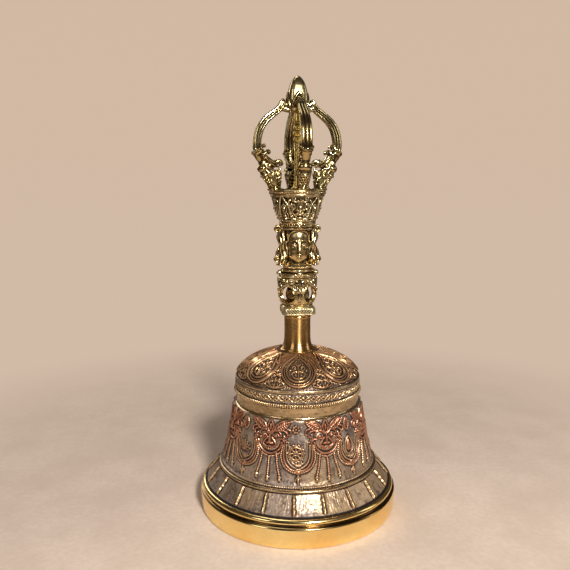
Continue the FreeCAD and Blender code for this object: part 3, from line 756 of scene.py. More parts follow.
def waist_canvases():
    """Eight sectors of the waist, mask in the middle, half a medallion at each side: one canvas per medallion kind."""
    half = SECTOR / 2
    c = Canvas(-half, half, 0, 29, 0.075)
    COP = 1.0
    # crest jewel
    c.stroke([(0, 28.5), (-1.15, 26.6), (-1.35, 24.9), (0, 22.7), (1.35, 24.9), (1.15, 26.6)], 0.42, h=0.95, tone=COP, closed=True)
    c.blob(0, 25.3, 0.55, 1.5, 0.85, tone=COP)
    # ribbed horns
    for s in (-1, 1):
        out = np.array([(2.3, 24.3), (3.0, 26.5), (5.2, 27.9), (7.6, 28.5), (9.6, 28.5), (8.9, 26.9), (7.2, 25.2), (5.0, 24.0)]) * [s, 1]
        c.fill(out, 0.42, tone=COP, edge=0.5)
        c.stroke(out, 0.33, h=0.8, tone=COP, closed=True)
        c.stroke(np.array([(2.9, 24.7), (5.4, 26.2), (8.9, 28.0)]) * [s, 1], 0.28, h=0.85, tone=COP)
        for k in range(6):
            f = k / 5
            a = np.array([3.5 + 4.6 * f, 25.0 + 2.5 * f])
            c.stroke(np.array([a, a + [0.35, 1.5 - 0.9 * f]]) * [s, 1], 0.2, h=0.85, tone=COP)
            c.stroke(np.array([a, a + [0.9, -1.0 + 0.35 * f]]) * [s, 1], 0.2, h=0.8, tone=COP)
        # second curl under the horn
        c.stroke(np.array([(4.4, 23.9), (6.4, 24.0), (8.0, 23.2), (8.3, 21.8), (7.4, 21.2), (6.6, 21.9)]) * [s, 1], 0.45, 0.3, h=0.85, tone=COP)
        c.stroke(np.array([(8.0, 24.9), (9.5, 24.3), (9.9, 22.9), (9.1, 22.2)]) * [s, 1], 0.36, 0.24, h=0.7, tone=COP)
    # face of the mask
    c.fill([(-4.6, 22.6), (-2.2, 23.6), (0, 23.0), (2.2, 23.6), (4.6, 22.6), (5.4, 20.0), (4.3, 17.0), (2.0, 15.3), (0, 14.9), (-2.0, 15.3), (-4.3, 17.0), (-5.4, 20.0)],
           0.34, tone=0.75, edge=0.8)
    for s in (-1, 1):
        c.stroke(np.array([(0.8, 22.4), (1.9, 23.7), (3.8, 23.8), (5.2, 22.6), (5.3, 21.6)]) * [s, 1], 0.46, 0.3, h=1.05, tone=COP)
        c.spiral(3.05 * s, 21.5, 1.25, 0.3, turns=1.0, h=0.95, tone=COP, way=s)
        c.blob(3.05 * s, 21.5, 0.62, h=1.15, tone=0.9)
        c.stroke(np.array([(1.0, 20.8), (2.4, 19.2), (3.0, 17.8), (1.6, 16.9)]) * [s, 1], 0.42, 0.3, h=0.95, tone=COP)
        c.stroke(np.array([(4.6, 20.4), (6.2, 20.3), (7.1, 19.0), (6.3, 17.9), (5.3, 18.6)]) * [s, 1], 0.42, 0.26, h=0.9, tone=COP)
        c.blob(0.95 * s, 18.35, 0.72, 0.6, 1.15, tone=COP)
        for a, b in ((6.6, 20.9), (7.5, 20.3), (8.0, 19.4)):
            c.blob(a * s, b - 0.2, 0.5, 0.5, 0.8, tone=0.85)
        # beard that frames the chin
        c.stroke(np.array([(5.9, 19.0), (5.0, 16.6), (3.2, 14.7), (1.4, 13.8), (0, 13.6)]) * [s, 1], 0.48, 0.4, h=0.85, tone=COP)
        c.pearls(np.array([(6.9, 18.0), (5.8, 15.4), (3.7, 13.5), (1.5, 12.6), (0, 12.4)]) * [s, 1], 0.32, 0.72, h=0.55, tone=0.7)
    c.stroke([(0, 23.0), (0, 21.2), (0, 19.0)], 0.42, 0.72, h=1.1, tone=COP)
    c.blob(0, 18.6, 0.85, 0.8, 1.25, tone=COP)
    c.stroke([(-3.0, 17.3), (-1.5, 16.6), (0, 16.9), (1.5, 16.6), (3.0, 17.3)], 0.36, h=1.0, tone=COP)
    for u in (-2.1, -1.3, -0.45, 0.45, 1.3, 2.1):
        c.blob(u, 15.9 - 0.15 * (1.3 - abs(u)), 0.3, 0.42, 0.8, tone=0.5)
    # strings that fall from the mask
    drops = [(0, [(0, 12.2), (0.1, 8.0), (0, 3.8)]), (-1, [(-3.4, 13.6), (-4.1, 9.0), (-5.3, 4.2)]), (1, [(3.4, 13.6), (4.1, 9.0), (5.3, 4.2)])]
    for s, p in drops:
        p = np.array(p)
        c.stroke(p, 0.36, 0.30, h=0.48, tone=0.6)
        c.pearls(p, 0.52, 0.92, h=0.85, tone=0.5)
        u, v = p[-1]
        c.blob(u, v - 0.5, 0.85, 0.6, 0.9, tone=0.05)
        c.blob(u, v - 1.4, 0.62, 0.72, 1.0, tone=0.02)
        c.blob(u - 0.45, v - 1.9, 0.3, 0.4, 0.6, tone=0.02)
        c.blob(u + 0.45, v - 1.9, 0.3, 0.4, 0.6, tone=0.02)
    # festoons that swing across to the medallion
    for s in (-1, 1):
        c.pearls(np.array([(6.3, 17.6), (5.7, 14.8), (5.7, 12.0), (6.9, 9.0), (9.2, 7.0), (11.6, 6.1)]) * [s, 1], 0.50, 0.92, h=0.85, tone=0.5)
        c.stroke(np.array([(7.0, 17.8), (6.7, 14.8), (6.9, 12.0), (8.0, 9.4), (10.0, 7.6), (12.2, 6.9)]) * [s, 1], 0.40, h=0.7, tone=0.7)
        c.pearls(np.array([(7.9, 17.9), (7.9, 14.8), (8.2, 12.2), (9.3, 10.0), (11.0, 8.5), (12.4, 7.9)]) * [s, 1], 0.36, 0.76, h=0.58, tone=0.45)
        c.stroke(np.array([(8.8, 19.2), (9.2, 16.0), (9.3, 13.0), (10.2, 10.8), (11.4, 9.8)]) * [s, 1], 0.22, h=0.38, tone=0.2)
    kinds = []
    for kind in range(4):
        k = Canvas(-half, half, 0, 29, 0.075)
        k.h = c.h.copy(); k.c = c.c.copy()
        for m in (-half, half):
            # pendant
            k.blob(m, 6.3, 1.25, 1.15, 0.9, tone=0.75)
            k.stroke([(m - 1.3, 7.2), (m, 7.7), (m + 1.3, 7.2)], 0.28, h=0.8, tone=0.2)
            k.blob(m, 4.7, 0.42, 0.42, 0.7, tone=0.1)
            for s in (-1, 1):
                k.stroke([(m, 4.2), (m + 0.9 * s, 3.7), (m + 1.1 * s, 2.8)], 0.34, 0.2, h=0.75, tone=0.05)
            k.blob(m, 3.0, 0.62, 1.05, 0.95, tone=0.0)
            k.blob(m, 1.7, 0.36, 0.7, 0.7, tone=0.0)
            # lotus under the symbol
            for a in (-2, -1, 0, 1, 2):
                k.stroke([(m + 0.35 * a, 8.9), (m + 0.75 * a, 9.9), (m + 0.62 * a, 10.7)], 0.32, 0.18, h=0.6, tone=0.3)
        for m in (-half, half):
            v = 14.4
            m = m - 1.0
            if kind == 0:  # wheel
                t = np.linspace(0, 2 * np.pi, 49)
                k.stroke(np.stack([m + 2.75 * np.cos(t), v + 2.75 * np.sin(t)], 1), 0.33, h=0.85, tone=0.25, raw=True)
                k.stroke(np.stack([m + 0.85 * np.cos(t), v + 0.85 * np.sin(t)], 1), 0.3, h=0.85, tone=0.15, raw=True)
                k.blob(m, v, 0.36, h=0.8, tone=0.1)
                for a in range(8):
                    w = a * np.pi / 4 + np.pi / 8 * 0
                    d = np.array([math.cos(w), math.sin(w)])
                    k.stroke([np.array([m, v]) + d * 0.9, np.array([m, v]) + d * 2.7], 0.24, 0.3, h=0.75, tone=0.2)
                    k.blob(m + d[0] * 3.85, v + d[1] * 3.85, 0.36, h=0.7, tone=0.15)
                    e = np.array([math.cos(w + np.pi / 8), math.sin(w + np.pi / 8)]); g = np.array([math.cos(w + np.pi / 4), math.sin(w + np.pi / 4)])
                    k.stroke([np.array([m, v]) + d * 3.1, np.array([m, v]) + e * 3.75, np.array([m, v]) + g * 3.1], 0.22, h=0.6, tone=0.4)
            elif kind == 1:  # flaming jewel in a mandorla
                k.stroke([(m, v + 4.6), (m - 1.7, v + 2.6), (m - 2.3, v), (m - 1.7, v - 2.4), (m, v - 3.4), (m + 1.7, v - 2.4), (m + 2.3, v), (m + 1.7, v + 2.6)], 0.4, h=0.8, tone=0.35, closed=True)
                k.fill([(m, v + 3.2), (m - 1.2, v + 1.2), (m - 1.3, v - 0.8), (m, v - 2.2), (m + 1.3, v - 0.8), (m + 1.2, v + 1.2)], 0.8, tone=0.7, edge=0.9)
                for s in (-1, 1):
                    k.stroke([(m + 2.6 * s, v - 2.4), (m + 3.4 * s, v - 0.4), (m + 2.9 * s, v + 1.6)], 0.26, 0.16, h=0.5, tone=0.2)
            elif kind == 2:  # woven knot
                for a in (-1.7, 0, 1.7):
                    k.stroke([(m + a - 2.3, v + 2.3 + a * 0.0 - 0.0), (m + a, v), (m + a + 2.3, v - 2.3)], 0.3, h=0.62, tone=0.15)
                    k.stroke([(m + a + 2.3, v + 2.3), (m + a, v), (m + a - 2.3, v - 2.3)], 0.3, h=0.72, tone=0.15)
                t = np.linspace(0, 2 * np.pi, 41)
                k.stroke(np.stack([m + 3.2 * np.cos(t), v + 3.2 * np.sin(t)], 1), 0.28, h=0.55, tone=0.3, raw=True)
            else:  # lotus
                for a in range(-3, 4):
                    w = math.radians(90 - 27 * a)
                    d = np.array([math.cos(w), math.sin(w)]); n = np.array([-d[1], d[0]])
                    b = np.array([m, v - 1.6])
                    k.stroke([b, b + d * 1.8 + n * 0.75, b + d * 3.9], 0.3, 0.2, h=0.6, tone=0.3)
                    k.stroke([b, b + d * 1.8 - n * 0.75, b + d * 3.9], 0.3, 0.2, h=0.6, tone=0.3)
                k.blob(m, v - 1.8, 1.1, 0.7, 0.9, tone=0.3)
            if kind % 2 == 0:
                k.blob(m, 24.7, 0.55, h=0.8, tone=0.5)
                for a in range(7):
                    w = a * 2 * np.pi / 7 + np.pi / 2
                    k.blob(m + 1.38 * math.cos(w), 24.7 + 1.38 * math.sin(w), 0.56, h=0.72, tone=0.55)
            else:
                k.stroke([(m, 27.4), (m - 1.3, 25.6), (m - 1.4, 23.8), (m, 21.9), (m + 1.4, 23.8), (m + 1.3, 25.6)], 0.32, h=0.7, tone=0.8, closed=True)
                for a in range(5):
                    k.stroke([(m - 1.0, 23.0 + a * 0.85), (m, 22.7 + a * 0.9), (m + 1.0, 23.0 + a * 0.85)], 0.26, h=0.7, tone=0.8)
        kinds.append(k)
    return kinds


def dome_canvas(r_of_y, top):
    c = Canvas(-12.2, 12.2, 0, top, 0.075)
    # double outlined petal
    for s in (-1, 1):
        c.stroke(np.array([(0.35, 22.6), (1.3, 20.6), (3.0, 18.4), (5.1, 15.6), (6.9, 12.3), (7.6, 9.2), (7.2, 6.2), (5.4, 3.4), (2.8, 1.9), (0, 1.4)]) * [s, 1], 0.34, 0.52, h=0.95, tone=0.42)
        c.stroke(np.array([(0.25, 20.8), (1.5, 18.0), (3.2, 15.0), (4.7, 12.2), (5.35, 9.4), (4.95, 6.9), (3.6, 5.0), (1.9, 4.1), (0, 3.8)]) * [s, 1], 0.28, 0.45, h=0.85, tone=0.36)
        c.stroke(np.array([(0.9, 21.8), (2.4, 19.0), (4.3, 15.9), (5.9, 12.4), (6.5, 9.3), (6.05, 6.5), (4.5, 4.1), (2.3, 2.9), (0, 2.6)]) * [s, 1], 0.2, 0.24, h=0.42, tone=0.3)
        # scroll motif in the petal
        c.stroke(np.array([(0.2, 5.4), (1.9, 5.9), (2.9, 7.4), (2.4, 8.9), (1.2, 8.8), (1.2, 7.7)]) * [s, 1], 0.42, 0.26, h=0.85, tone=0.3)
        c.stroke(np.array([(0.3, 9.2), (1.9, 9.8), (2.9, 11.4), (2.3, 12.7), (1.2, 12.3), (1.5, 11.3)]) * [s, 1], 0.38, 0.22, h=0.85, tone=0.3)
        c.stroke(np.array([(0.2, 13.0), (1.0, 14.2), (1.3, 15.6), (0.6, 16.8)]) * [s, 1], 0.32, 0.2, h=0.75, tone=0.3)
        c.blob(3.7 * s, 10.4, 0.38, h=0.6, tone=0.3)
        c.blob(1.9 * s, 14.6, 0.3, h=0.55, tone=0.3)
        c.blob(0.62 * s, 18.8, 0.26, h=0.5, tone=0.3)
    c.stroke([(0, 5.0), (0, 8.5), (0, 12.6)], 0.42, 0.3, h=0.9, tone=0.35)
    c.blob(0, 5.3, 0.8, 0.6, 0.95, tone=0.3)
    c.blob(0, 9.3, 0.65, 0.6, 1.0, tone=0.35)
    c.blob(0, 13.2, 0.55, 0.75, 0.95, tone=0.3)
    c.blob(0, 17.6, 0.3, 0.9, 0.6, tone=0.3)
    # palmette between two petals, and the ribs that run to the crown
    def edge(y):
        return math.radians(22.5) * float(r_of_y(y))
    for s in (-1, 1):
        e = edge(1.5)
        c.stroke([(s * e, 0.7), (s * e, 3.0), (s * edge(5.4), 5.6)], 0.5, 0.3, h=0.75, tone=0.4)
        for dx, dy, dx2, dy2, dx3, dy3 in ((1.6, 1.0, 2.8, 2.4, 2.1, 3.6), (3.0, 0.8, 4.6, 1.7, 4.2, 2.9), (1.1, 4.0, 2.2, 5.2, 1.5, 6.5), (0.8, 7.2, 1.6, 8.3, 1.0, 9.5)):
            c.stroke([(s * edge(dy) - s * 0.1, dy - 0.3), (s * (edge(dy) - dx), dy + 0.3), (s * (edge(dy2) - dx2), dy2), (s * (edge(dy3) - dx3), dy3)], 0.36, 0.2, h=0.72, tone=0.3)
            c.spiral(s * (edge(dy3) - dx3 + 0.15), dy3 + 0.1, 0.62, 0.24, turns=1.2, h=0.7, tone=0.3, way=-s)
        c.blob(s * edge(7.6), 7.6, 0.7, 0.95, 0.85, tone=0.5)
        c.blob(s * edge(10.4), 10.4, 0.5, 0.8, 0.8, tone=0.5)
        for off, y0, rr in ((0.0, 11.6, 0.3), (1.05, 12.6, 0.26), (2.0, 14.6, 0.24)):
            ys = np.linspace(y0, 23.2, 12)
            c.stroke([(s * max(edge(y) - off * edge(y) / 5.2, 0.2), y) for y in ys], rr, rr * 0.85, h=0.6, tone=0.45)
        ys = np.linspace(12.0, 21.5, 10)
        c.pearls([(s * (edge(y) - 0.5 * edge(y) / 5.2), y) for y in ys], 0.2, 0.62, h=0.45, tone=0.2)
        # pearls beside the petal
        c.pearls(np.array([(2.2, 0.7), (5.6, 2.1), (8.2, 5.2), (8.75, 9.0)]) * [s, 1], 0.3, 0.8, h=0.42, tone=0.2)
        # veins between the petals
        for off, y0 in ((0.55, 9.8), (1.55, 12.2), (2.6, 15.4)):
            ys = np.linspace(y0, 22.6, 12)
            c.stroke([(s * max(edge(y) - off * edge(y) / 5.2, 0.15), y) for y in ys], 0.2, 0.17, h=0.45, tone=0.3)
        c.pearls(np.array([(4.3, 4.9), (5.6, 7.0), (5.7, 9.6), (4.7, 12.4)]) * [s, 1], 0.22, 0.6, h=0.35, tone=0.2)
        c.stroke(np.array([(8.0, 12.9), (7.0, 15.4), (5.4, 18.2)]) * [s, 1], 0.26, 0.2, h=0.5, tone=0.3)
    c.granulate(0.95, 0.24, 0.30, 5)
    return c


def band_canvas(period, height):
    """One repeat of the running leaf scroll."""
    c = Canvas(-period, period, 0, height, 0.06)
    mid = height / 2
    for base in (-period, 0, period):
        t = np.linspace(-0.5, 0.5, 21)
        c.stroke(np.stack([base + t * period, mid + 0.95 * np.sin(2 * np.pi * t)], 1), 0.3, h=0.55, tone=0.3, raw=True)
        for s in (-1, 1):
            u = base + s * period / 4
            c.stroke([(u, mid + s * 0.85), (u - 0.9, mid + s * 0.2), (u - 0.5, mid - s * 0.75), (u + 0.35, mid - s * 0.8), (u + 0.5, mid - s * 0.1)], 0.3, 0.2, h=0.62, tone=0.3)
            c.blob(u + 0.15, mid - s * 0.45, 0.32, h=0.6, tone=0.3)
            c.stroke([(u + 0.2, mid + s * 1.0), (u + 0.9, mid + s * 1.5), (u + 1.5, mid + s * 1.2)], 0.26, 0.14, h=0.5, tone=0.3)
            c.stroke([(u - 0.2, mid + s * 1.2), (u - 0.9, mid + s * 1.6)], 0.24, 0.14, h=0.45, tone=0.3)
    return c


def profile(points, step):
    """Even points along a polyline."""
    return even(points, step)


WAIST = [(37.0, 23.55), (36.75, 24.2), (36.35, 25.2), (36.0, 26.6), (35.7, 28.2), (35.25, 30.2), (34.8, 32.2), (34.25, 34.4), (33.8, 36.8),
         (33.45, 39.4), (33.15, 42.0), (32.6, 44.4), (32.05, 46.8), (31.65, 49.2), (31.35, 51.0), (31.1, 51.5)]
SHOULDER = [(31.1, 51.5), (30.6, 51.72), (30.15, 52.05), (29.98, 52.5), (29.95, 54.5), (30.0, 56.3), (30.05, 56.75), (30.35, 57.05),
            (30.6, 57.3), (30.72, 57.95), (30.55, 58.6), (30.2, 58.85), (30.1, 59.1), (30.15, 61.0), (30.1, 63.1), (30.05, 63.3), (30.4, 63.6),
            (30.5, 64.2), (30.3, 64.8), (29.75, 65.05)]
DOME = [(29.75, 65.05), (29.35, 65.8), (28.75, 66.9), (27.9, 68.0), (26.7, 69.15), (25.2, 70.4), (23.4, 71.6), (21.2, 72.8), (18.7, 73.95),
        (15.9, 74.95), (13.2, 75.75), (10.8, 76.35), (8.9, 76.72), (7.4, 76.8)]


def build_bell():
    N = 1152
    # ---- waist
    kinds = waist_canvases()
    prof = profile(catmull(WAIST, 0.15), 0.255)
    order = [0, 1, 2, 3, 0, 1, 2, 3]

    def waist_fields(ang, z):
        deg = np.degrees(ang)
        rel = (deg - MEDALLION_DEG) % 360.0
        # sector k runs from medallion k (left) to medallion k + 1 (right)
        k = np.floor(rel / 45).astype(int) % 8
        u = (rel - 45 * k - 22.5) * math.radians(1) * R_REF
        right = u > 0
        which = np.where(right, np.array(order)[(k + 1) % 8], np.array(order)[k])
        hh = np.zeros(np.broadcast(u, z).shape); cc = np.zeros_like(hh)
        v = z - 23.0
        for kind in range(4):
            on = np.broadcast_to(which == kind, hh.shape)
            uu, vv = np.broadcast_arrays(u, v)
            hh[on] = kinds[kind].sample("h", uu[on], vv[on])
            cc[on] = kinds[kind].sample("c", uu[on], vv[on])
        return hh, cc

    box = {}

    def relief(ang, s, r, z):
        h, c = waist_fields(ang, z)
        fade = np.clip((z - 23.6) / 0.6, 0, 1) * np.clip((51.5 - z) / 0.5, 0, 1)
        h = h * fade
        stipple = smooth_noise(h.shape, (96, 900), 3) * 0.035 + smooth_noise(h.shape, (30, 260), 4) * 0.05
        box["h"], box["c"] = h, c
        return h * 0.92 + stipple * (h < 0.2)

    v, f, h = turned(prof, N, relief)
    hb = box["h"]
    blur = box_blur(box_blur(hb, 3, 1, True), 3, 0)
    cav = np.clip((blur - hb) * 2.2, -1, 1)
    make_piece("bell_waist", v, f, PATINA_WAIST, {"relief": np.clip(hb / 0.75, 0, 1), "copper": box["c"] * (hb > 0.05), "cav_fine": cav, "gold": np.zeros(hb.size)},
               stands_for=["bell_cup"])

    # ---- shoulder: plain recess, beaded rim, leaf band, smooth ring
    prof = profile(SHOULDER, 0.15)
    period = 2 * math.pi * 30.2 / 40
    band = band_canvas(period, 4.4)

    def relief2(ang, s, r, z):
        a = ang * 30.2
        u = (a + period / 2) % period - period / 2
        zz = np.broadcast_to(z, np.broadcast(ang, z).shape)
        uu = np.broadcast_to(u, zz.shape)
        on = (zz > 58.95) & (zz < 63.2)
        h = np.zeros(zz.shape)
        h[on] = band.sample("h", uu[on], zz[on] - 58.9)
        bead = np.sqrt(np.maximum(0, 1 - (((ang * 176 / (2 * np.pi)) % 1 - 0.5) / 0.42) ** 2)) * np.maximum(0, 1 - ((z - 57.95) / 0.8) ** 2) ** 0.5
        h = np.maximum(h, 0.62 * bead)
        wob = smooth_noise(h.shape, (12, 120), 8) * 0.04
        box["h"] = h
        box["gold"] = (((zz < 56.9) & (zz > 51.6)) * 1.0) + (((zz > 63.25)) * 0.75) + ((np.abs(zz - 57.95) < 0.8) * 0.35)
        return h + wob * (h < 0.05)

    v, f, h = turned(prof, N, relief2)
    hb = box["h"]
    zz = np.broadcast_to(prof[:, 1][:, None], hb.shape)
    blur = box_blur(box_blur(hb, 2, 1, True), 2, 0)
    cav = np.clip((blur - hb) * 2.4, -1, 1)
    cav += 0.75 * np.exp(-((zz - 56.85) / 0.22) ** 2) + 0.55 * np.exp(-((zz - 58.95) / 0.18) ** 2) + 0.5 * np.exp(-((zz - 63.3) / 0.16) ** 2) + 0.5 * np.exp(-((zz - 65.0) / 0.15) ** 2)
    make_piece("bell_shoulder", v, f, PATINA, {"relief": np.clip(hb / 0.6, 0, 1) + 0.25 * box["gold"], "copper": np.full(hb.size, 0.12), "cav_fine": cav, "gold": box["gold"]},
               stands_for=["bell_cup"])

    # ---- dome
    prof = profile(catmull(DOME, 0.15), 0.23)
    s = np.r_[0, np.cumsum(np.linalg.norm(np.diff(prof, axis=0), axis=1))]
    dome = dome_canvas(lambda y: np.interp(y, s, prof[:, 0]), s[-1] + 0.2)

    def relief3(ang, sy, r, z):
        rel = (np.degrees(ang) - PETAL_DEG + 22.5) % 45.0 - 22.5
        u = np.radians(rel) * r
        uu, vv = np.broadcast_arrays(u, sy)
        h = dome.sample("h", uu, vv)
        box["c"] = dome.sample("c", uu, vv)
        h = h * np.clip(sy / 0.4, 0, 1) * np.clip((s[-1] - 1.0 - sy) / 0.8, 0, 1)
        box["h"] = h
        st = smooth_noise(h.shape, (80, 640), 13) * 0.035
        return h * 0.95 + st * (h < 0.15)

    v, f, h = turned(prof, N, relief3)
    hb = box["h"]
    blur = box_blur(box_blur(hb, 3, 1, True), 3, 0)
    cav = np.clip((blur - hb) * 2.0, -1, 1)
    make_piece("bell_dome", v, f, PATINA_DOME, {"relief": np.clip(hb / 0.75, 0, 1), "copper": box["c"] * (hb > 0.05), "cav_fine": cav, "gold": np.zeros(hb.size)},
               stands_for=["bell_cup"])

    # ---- double ring and the ridged skirt
    SK = [(46.0, 12.75), (45.5, 12.95), (44.75, 13.5), (43.9, 14.35), (42.6, 15.8), (41.4, 17.25), (40.3, 18.6), (39.4, 19.8), (38.85, 20.55),
          (38.7, 20.8), (38.95, 21.0), (39.15, 21.4), (39.1, 21.9), (38.7, 22.3), (38.1, 22.5), (37.75, 22.6), (37.6, 22.75), (37.65, 23.05), (37.4, 23.4), (37.0, 23.55)]
    prof = profile(SK, 0.2)

    def relief4(ang, sy, r, z):
        rel = (np.degrees(ang) - RIDGE_DEG + 9.0) % 18.0 - 9.0
        idx = np.floor((np.degrees(ang) - RIDGE_DEG + 9.0) / 18.0).astype(int) % 20
        zz = np.broadcast_to(z, np.broadcast(ang, z).shape)
        f = np.clip((zz - 13.0) / 7.6, 0, 1)
        lean = np.array([0.35, -0.3, 0.15, -0.2, 0.3, -0.1, 0.25, -0.35, 0.1, 0.2] * 2)[idx] * (f - 0.5)
        d = np.radians(rel) * r + lean
        rag = smooth_noise(zz.shape, (14, 288), 21)
        knots = 0.55 * np.exp(-((f - 0.27) / 0.085) ** 2) + 0.55 * np.exp(-((f - 0.74) / 0.085) ** 2) + 0.25 * np.exp(-((f - 0.5) / 0.06) ** 2)
        wid = 0.42 + 0.45 * knots + 0.16 * rag
        core = np.maximum(0, 1 - (d / wid) ** 2) ** 0.6
        apron = np.exp(-(d / 1.35) ** 2)
        ends = np.clip((f - 0.03) / 0.06, 0, 1) * np.clip((0.985 - f) / 0.05, 0, 1)
        h = (0.85 * core * (1 + 0.35 * knots) + 0.28 * apron) * ends
        # panels a little hollow between the ridges: this term is multiplied by zero, so the panels stay as turned
        hollow = -0.22 * np.cos(np.clip(np.radians(rel) * r / (np.radians(9) * r), -1, 1) * np.pi / 2 * 1.0) * 0
        bead = np.sqrt(np.maximum(0, 1 - (((ang * 232 / (2 * np.pi)) % 1 - 0.5) / 0.42) ** 2)) * np.maximum(0, 1 - ((z - 23.0) / 0.42) ** 2) ** 0.5
        band = (zz > 22.55) & (zz < 23.5)
        h = np.where(band, 0.32 * bead, h * (zz < 20.9))
        box["h"] = h
        box["apron"] = apron * ends * (zz < 20.9)
        streak = smooth_noise(zz.shape, (5, 620), 31) * 0.05 + smooth_noise(zz.shape, (20, 420), 32) * 0.04
        return h + hollow + streak * (zz < 20.7)

    v, f, h = turned(prof, N, relief4)
    hb = box["h"]
    zz = np.broadcast_to(prof[:, 1][:, None], hb.shape)
    blur = box_blur(box_blur(hb, 4, 1, True), 2, 0)
    cav = np.clip((blur - hb) * 1.6, -1, 1)
    cav += 0.8 * np.exp(-((zz - 20.75) / 0.25) ** 2) + 0.6 * np.exp(-((zz - 22.6) / 0.15) ** 2) + 0.7 * np.exp(-((zz - 13.0) / 0.3) ** 2)
    gold = ((zz > 20.9) & (zz < 22.5)) * 0.85
    tint = 0.7 * np.exp(-((box["apron"] - 0.45) / 0.25) ** 2) * (zz < 20.8)
    make_piece("bell_skirt", v, f, PATINA, {"relief": np.clip(hb / 0.8, 0, 1) + 0.22 * (zz < 20.7), "copper": tint, "cav_fine": cav, "gold": gold},
               stands_for=["bell_cup"])

    # ---- polished bead and lip band, then the rim and the turned inside
    LIP = [(43.35, 0.35), (43.55, 0.06), (44.0, 0.0), (46.9, 0.0), (47.5, 0.08), (47.85, 0.35), (48.02, 0.85), (48.12, 1.6), (48.3, 5.0), (48.45, 8.2), (48.42, 8.9),
           (48.15, 9.45), (47.55, 9.75), (46.95, 9.95), (46.85, 10.15), (47.05, 10.45), (47.3, 10.95), (47.35, 11.45), (47.15, 12.0), (46.75, 12.45),
           (46.3, 12.68), (46.0, 12.75)]
    v, f, h = turned(profile(LIP, 0.17), 640, lambda a, s, r, z: smooth_noise((len(s), 640), (6, 40), 40) * 0.012)
    make_piece("bell_lip", v, f, LIP_BRASS, stands_for=["bell_cup"])
    INNER = [(3.05, 73.0), (9.0, 73.0), (11.5, 72.7), (15.0, 71.8), (19.6, 69.8), (23.4, 67.2), (25.9, 64.0), (26.9, 61.0), (27.1, 57.0), (28.0, 51.0),
             (29.2, 45.0), (30.4, 39.0), (31.6, 33.0), (33.0, 27.5), (34.8, 22.5), (37.2, 18.0), (40.2, 13.5), (42.0, 9.0), (43.0, 4.0), (43.3, 1.0), (43.35, 0.35)]
    v, f, h = turned(profile(catmull(INNER, 0.3), 0.6), 384, lambda a, s, r, z: smooth_noise((len(s), 384), (40, 60), 41) * 0.03)
    make_piece("bell_inside", v, f, INSIDE, stands_for=["bell_cup"])


build_bell()


# ================================================================= the handle
def main_parts(v, q, share=0.03):
    """Drops specks: keeps only shells with a fair share of the vertices."""
    lab = np.arange(len(v))
    e = np.vstack([q[:, [0, 1]], q[:, [1, 2]], q[:, [2, 3]]])
    for _ in range(400):
        m = np.minimum(lab[e[:, 0]], lab[e[:, 1]])
        new = lab.copy()
        np.minimum.at(new, e[:, 0], m)
        np.minimum.at(new, e[:, 1], m)
        new = new[new]
        new = new[new]
        if np.array_equal(new, lab):
            break
        lab = new
    size = np.bincount(lab, minlength=len(v))
    good = size[lab] >= share * len(v)
    q = q[good[q[:, 0]]]
    index = np.cumsum(good) - 1
    return v[good], index[q]


def outward(g, v, q):
    n = np.cross(v[q[:, 2]] - v[q[:, 0]], v[q[:, 3]] - v[q[:, 1]])
    c = v[q].mean(1)
    n /= np.linalg.norm(n, axis=1, keepdims=True) + 1e-12
    e = g.step * 0.5
    side = g.at(g.d, c + n * e) - g.at(g.d, c - n * e)
    return np.where((side < 0)[:, None], q[:, ::-1], q)


def cast(g, relax=1, fine=0.42, broad=1.5, share=0.03):
    v, q = g.skin(relax)
    v, q = main_parts(v, q, share)
    q = outward(g, v, q)
    return v, q, {"cav_fine": g.cavity(v, fine), "cav_broad": g.cavity(v, broad)}


def ring_of(n, r, z, start=0.0):
    return [(r * math.sin(math.radians(start + 360 * k / n)), -r * math.cos(math.radians(start + 360 * k / n)), z) for k in range(n)]


def on_wall(radius, deg, z, lift=0.0):
    r = (radius(z) if callable(radius) else radius) + lift
    a = math.radians(deg)
    return (r * math.sin(a), -r * math.cos(a), z)


def wall_tube(g, radius, pts, r, r1=None, k=0.15, lift=0.0, step=0.5, close=False):
    """A bar that lies on a wall of revolution; pts are (degrees, z)."""
    p = catmull(np.asarray(pts, float) * [0.17, 1.0], step, close) / [0.17, 1.0]
    g.tube([on_wall(radius, a, z, lift) for a, z in p], r, r1, k, raw=True)


PRONG_TURN = 5.0


# ---- round ferrule between the bell and the plinth
def build_stem():
    prof = [(3.2, 76.72), (8.35, 76.75), (8.55, 76.95), (8.55, 77.35), (8.3, 77.6), (8.0, 77.75), (7.85, 78.0), (7.45, 78.6), (6.95, 79.6), (6.6, 80.9), (6.42, 82.6),
            (6.36, 84.5), (6.34, 90.0), (6.36, 92.9), (6.48, 93.2), (6.5, 93.7), (6.36, 94.0), (6.2, 94.1), (6.18, 94.5), (6.35, 94.7), (6.38, 95.0), (3.2, 95.05)]
    v, f, h = turned(even(prof, 0.16), 256, lambda a, s, r, z: smooth_noise((len(s), 256), (7, 16), 50) * 0.03 * (r > 4))
    make_piece("stem_sleeve", v, f, STEM_BRASS, stands_for=["stem_ferrule"])


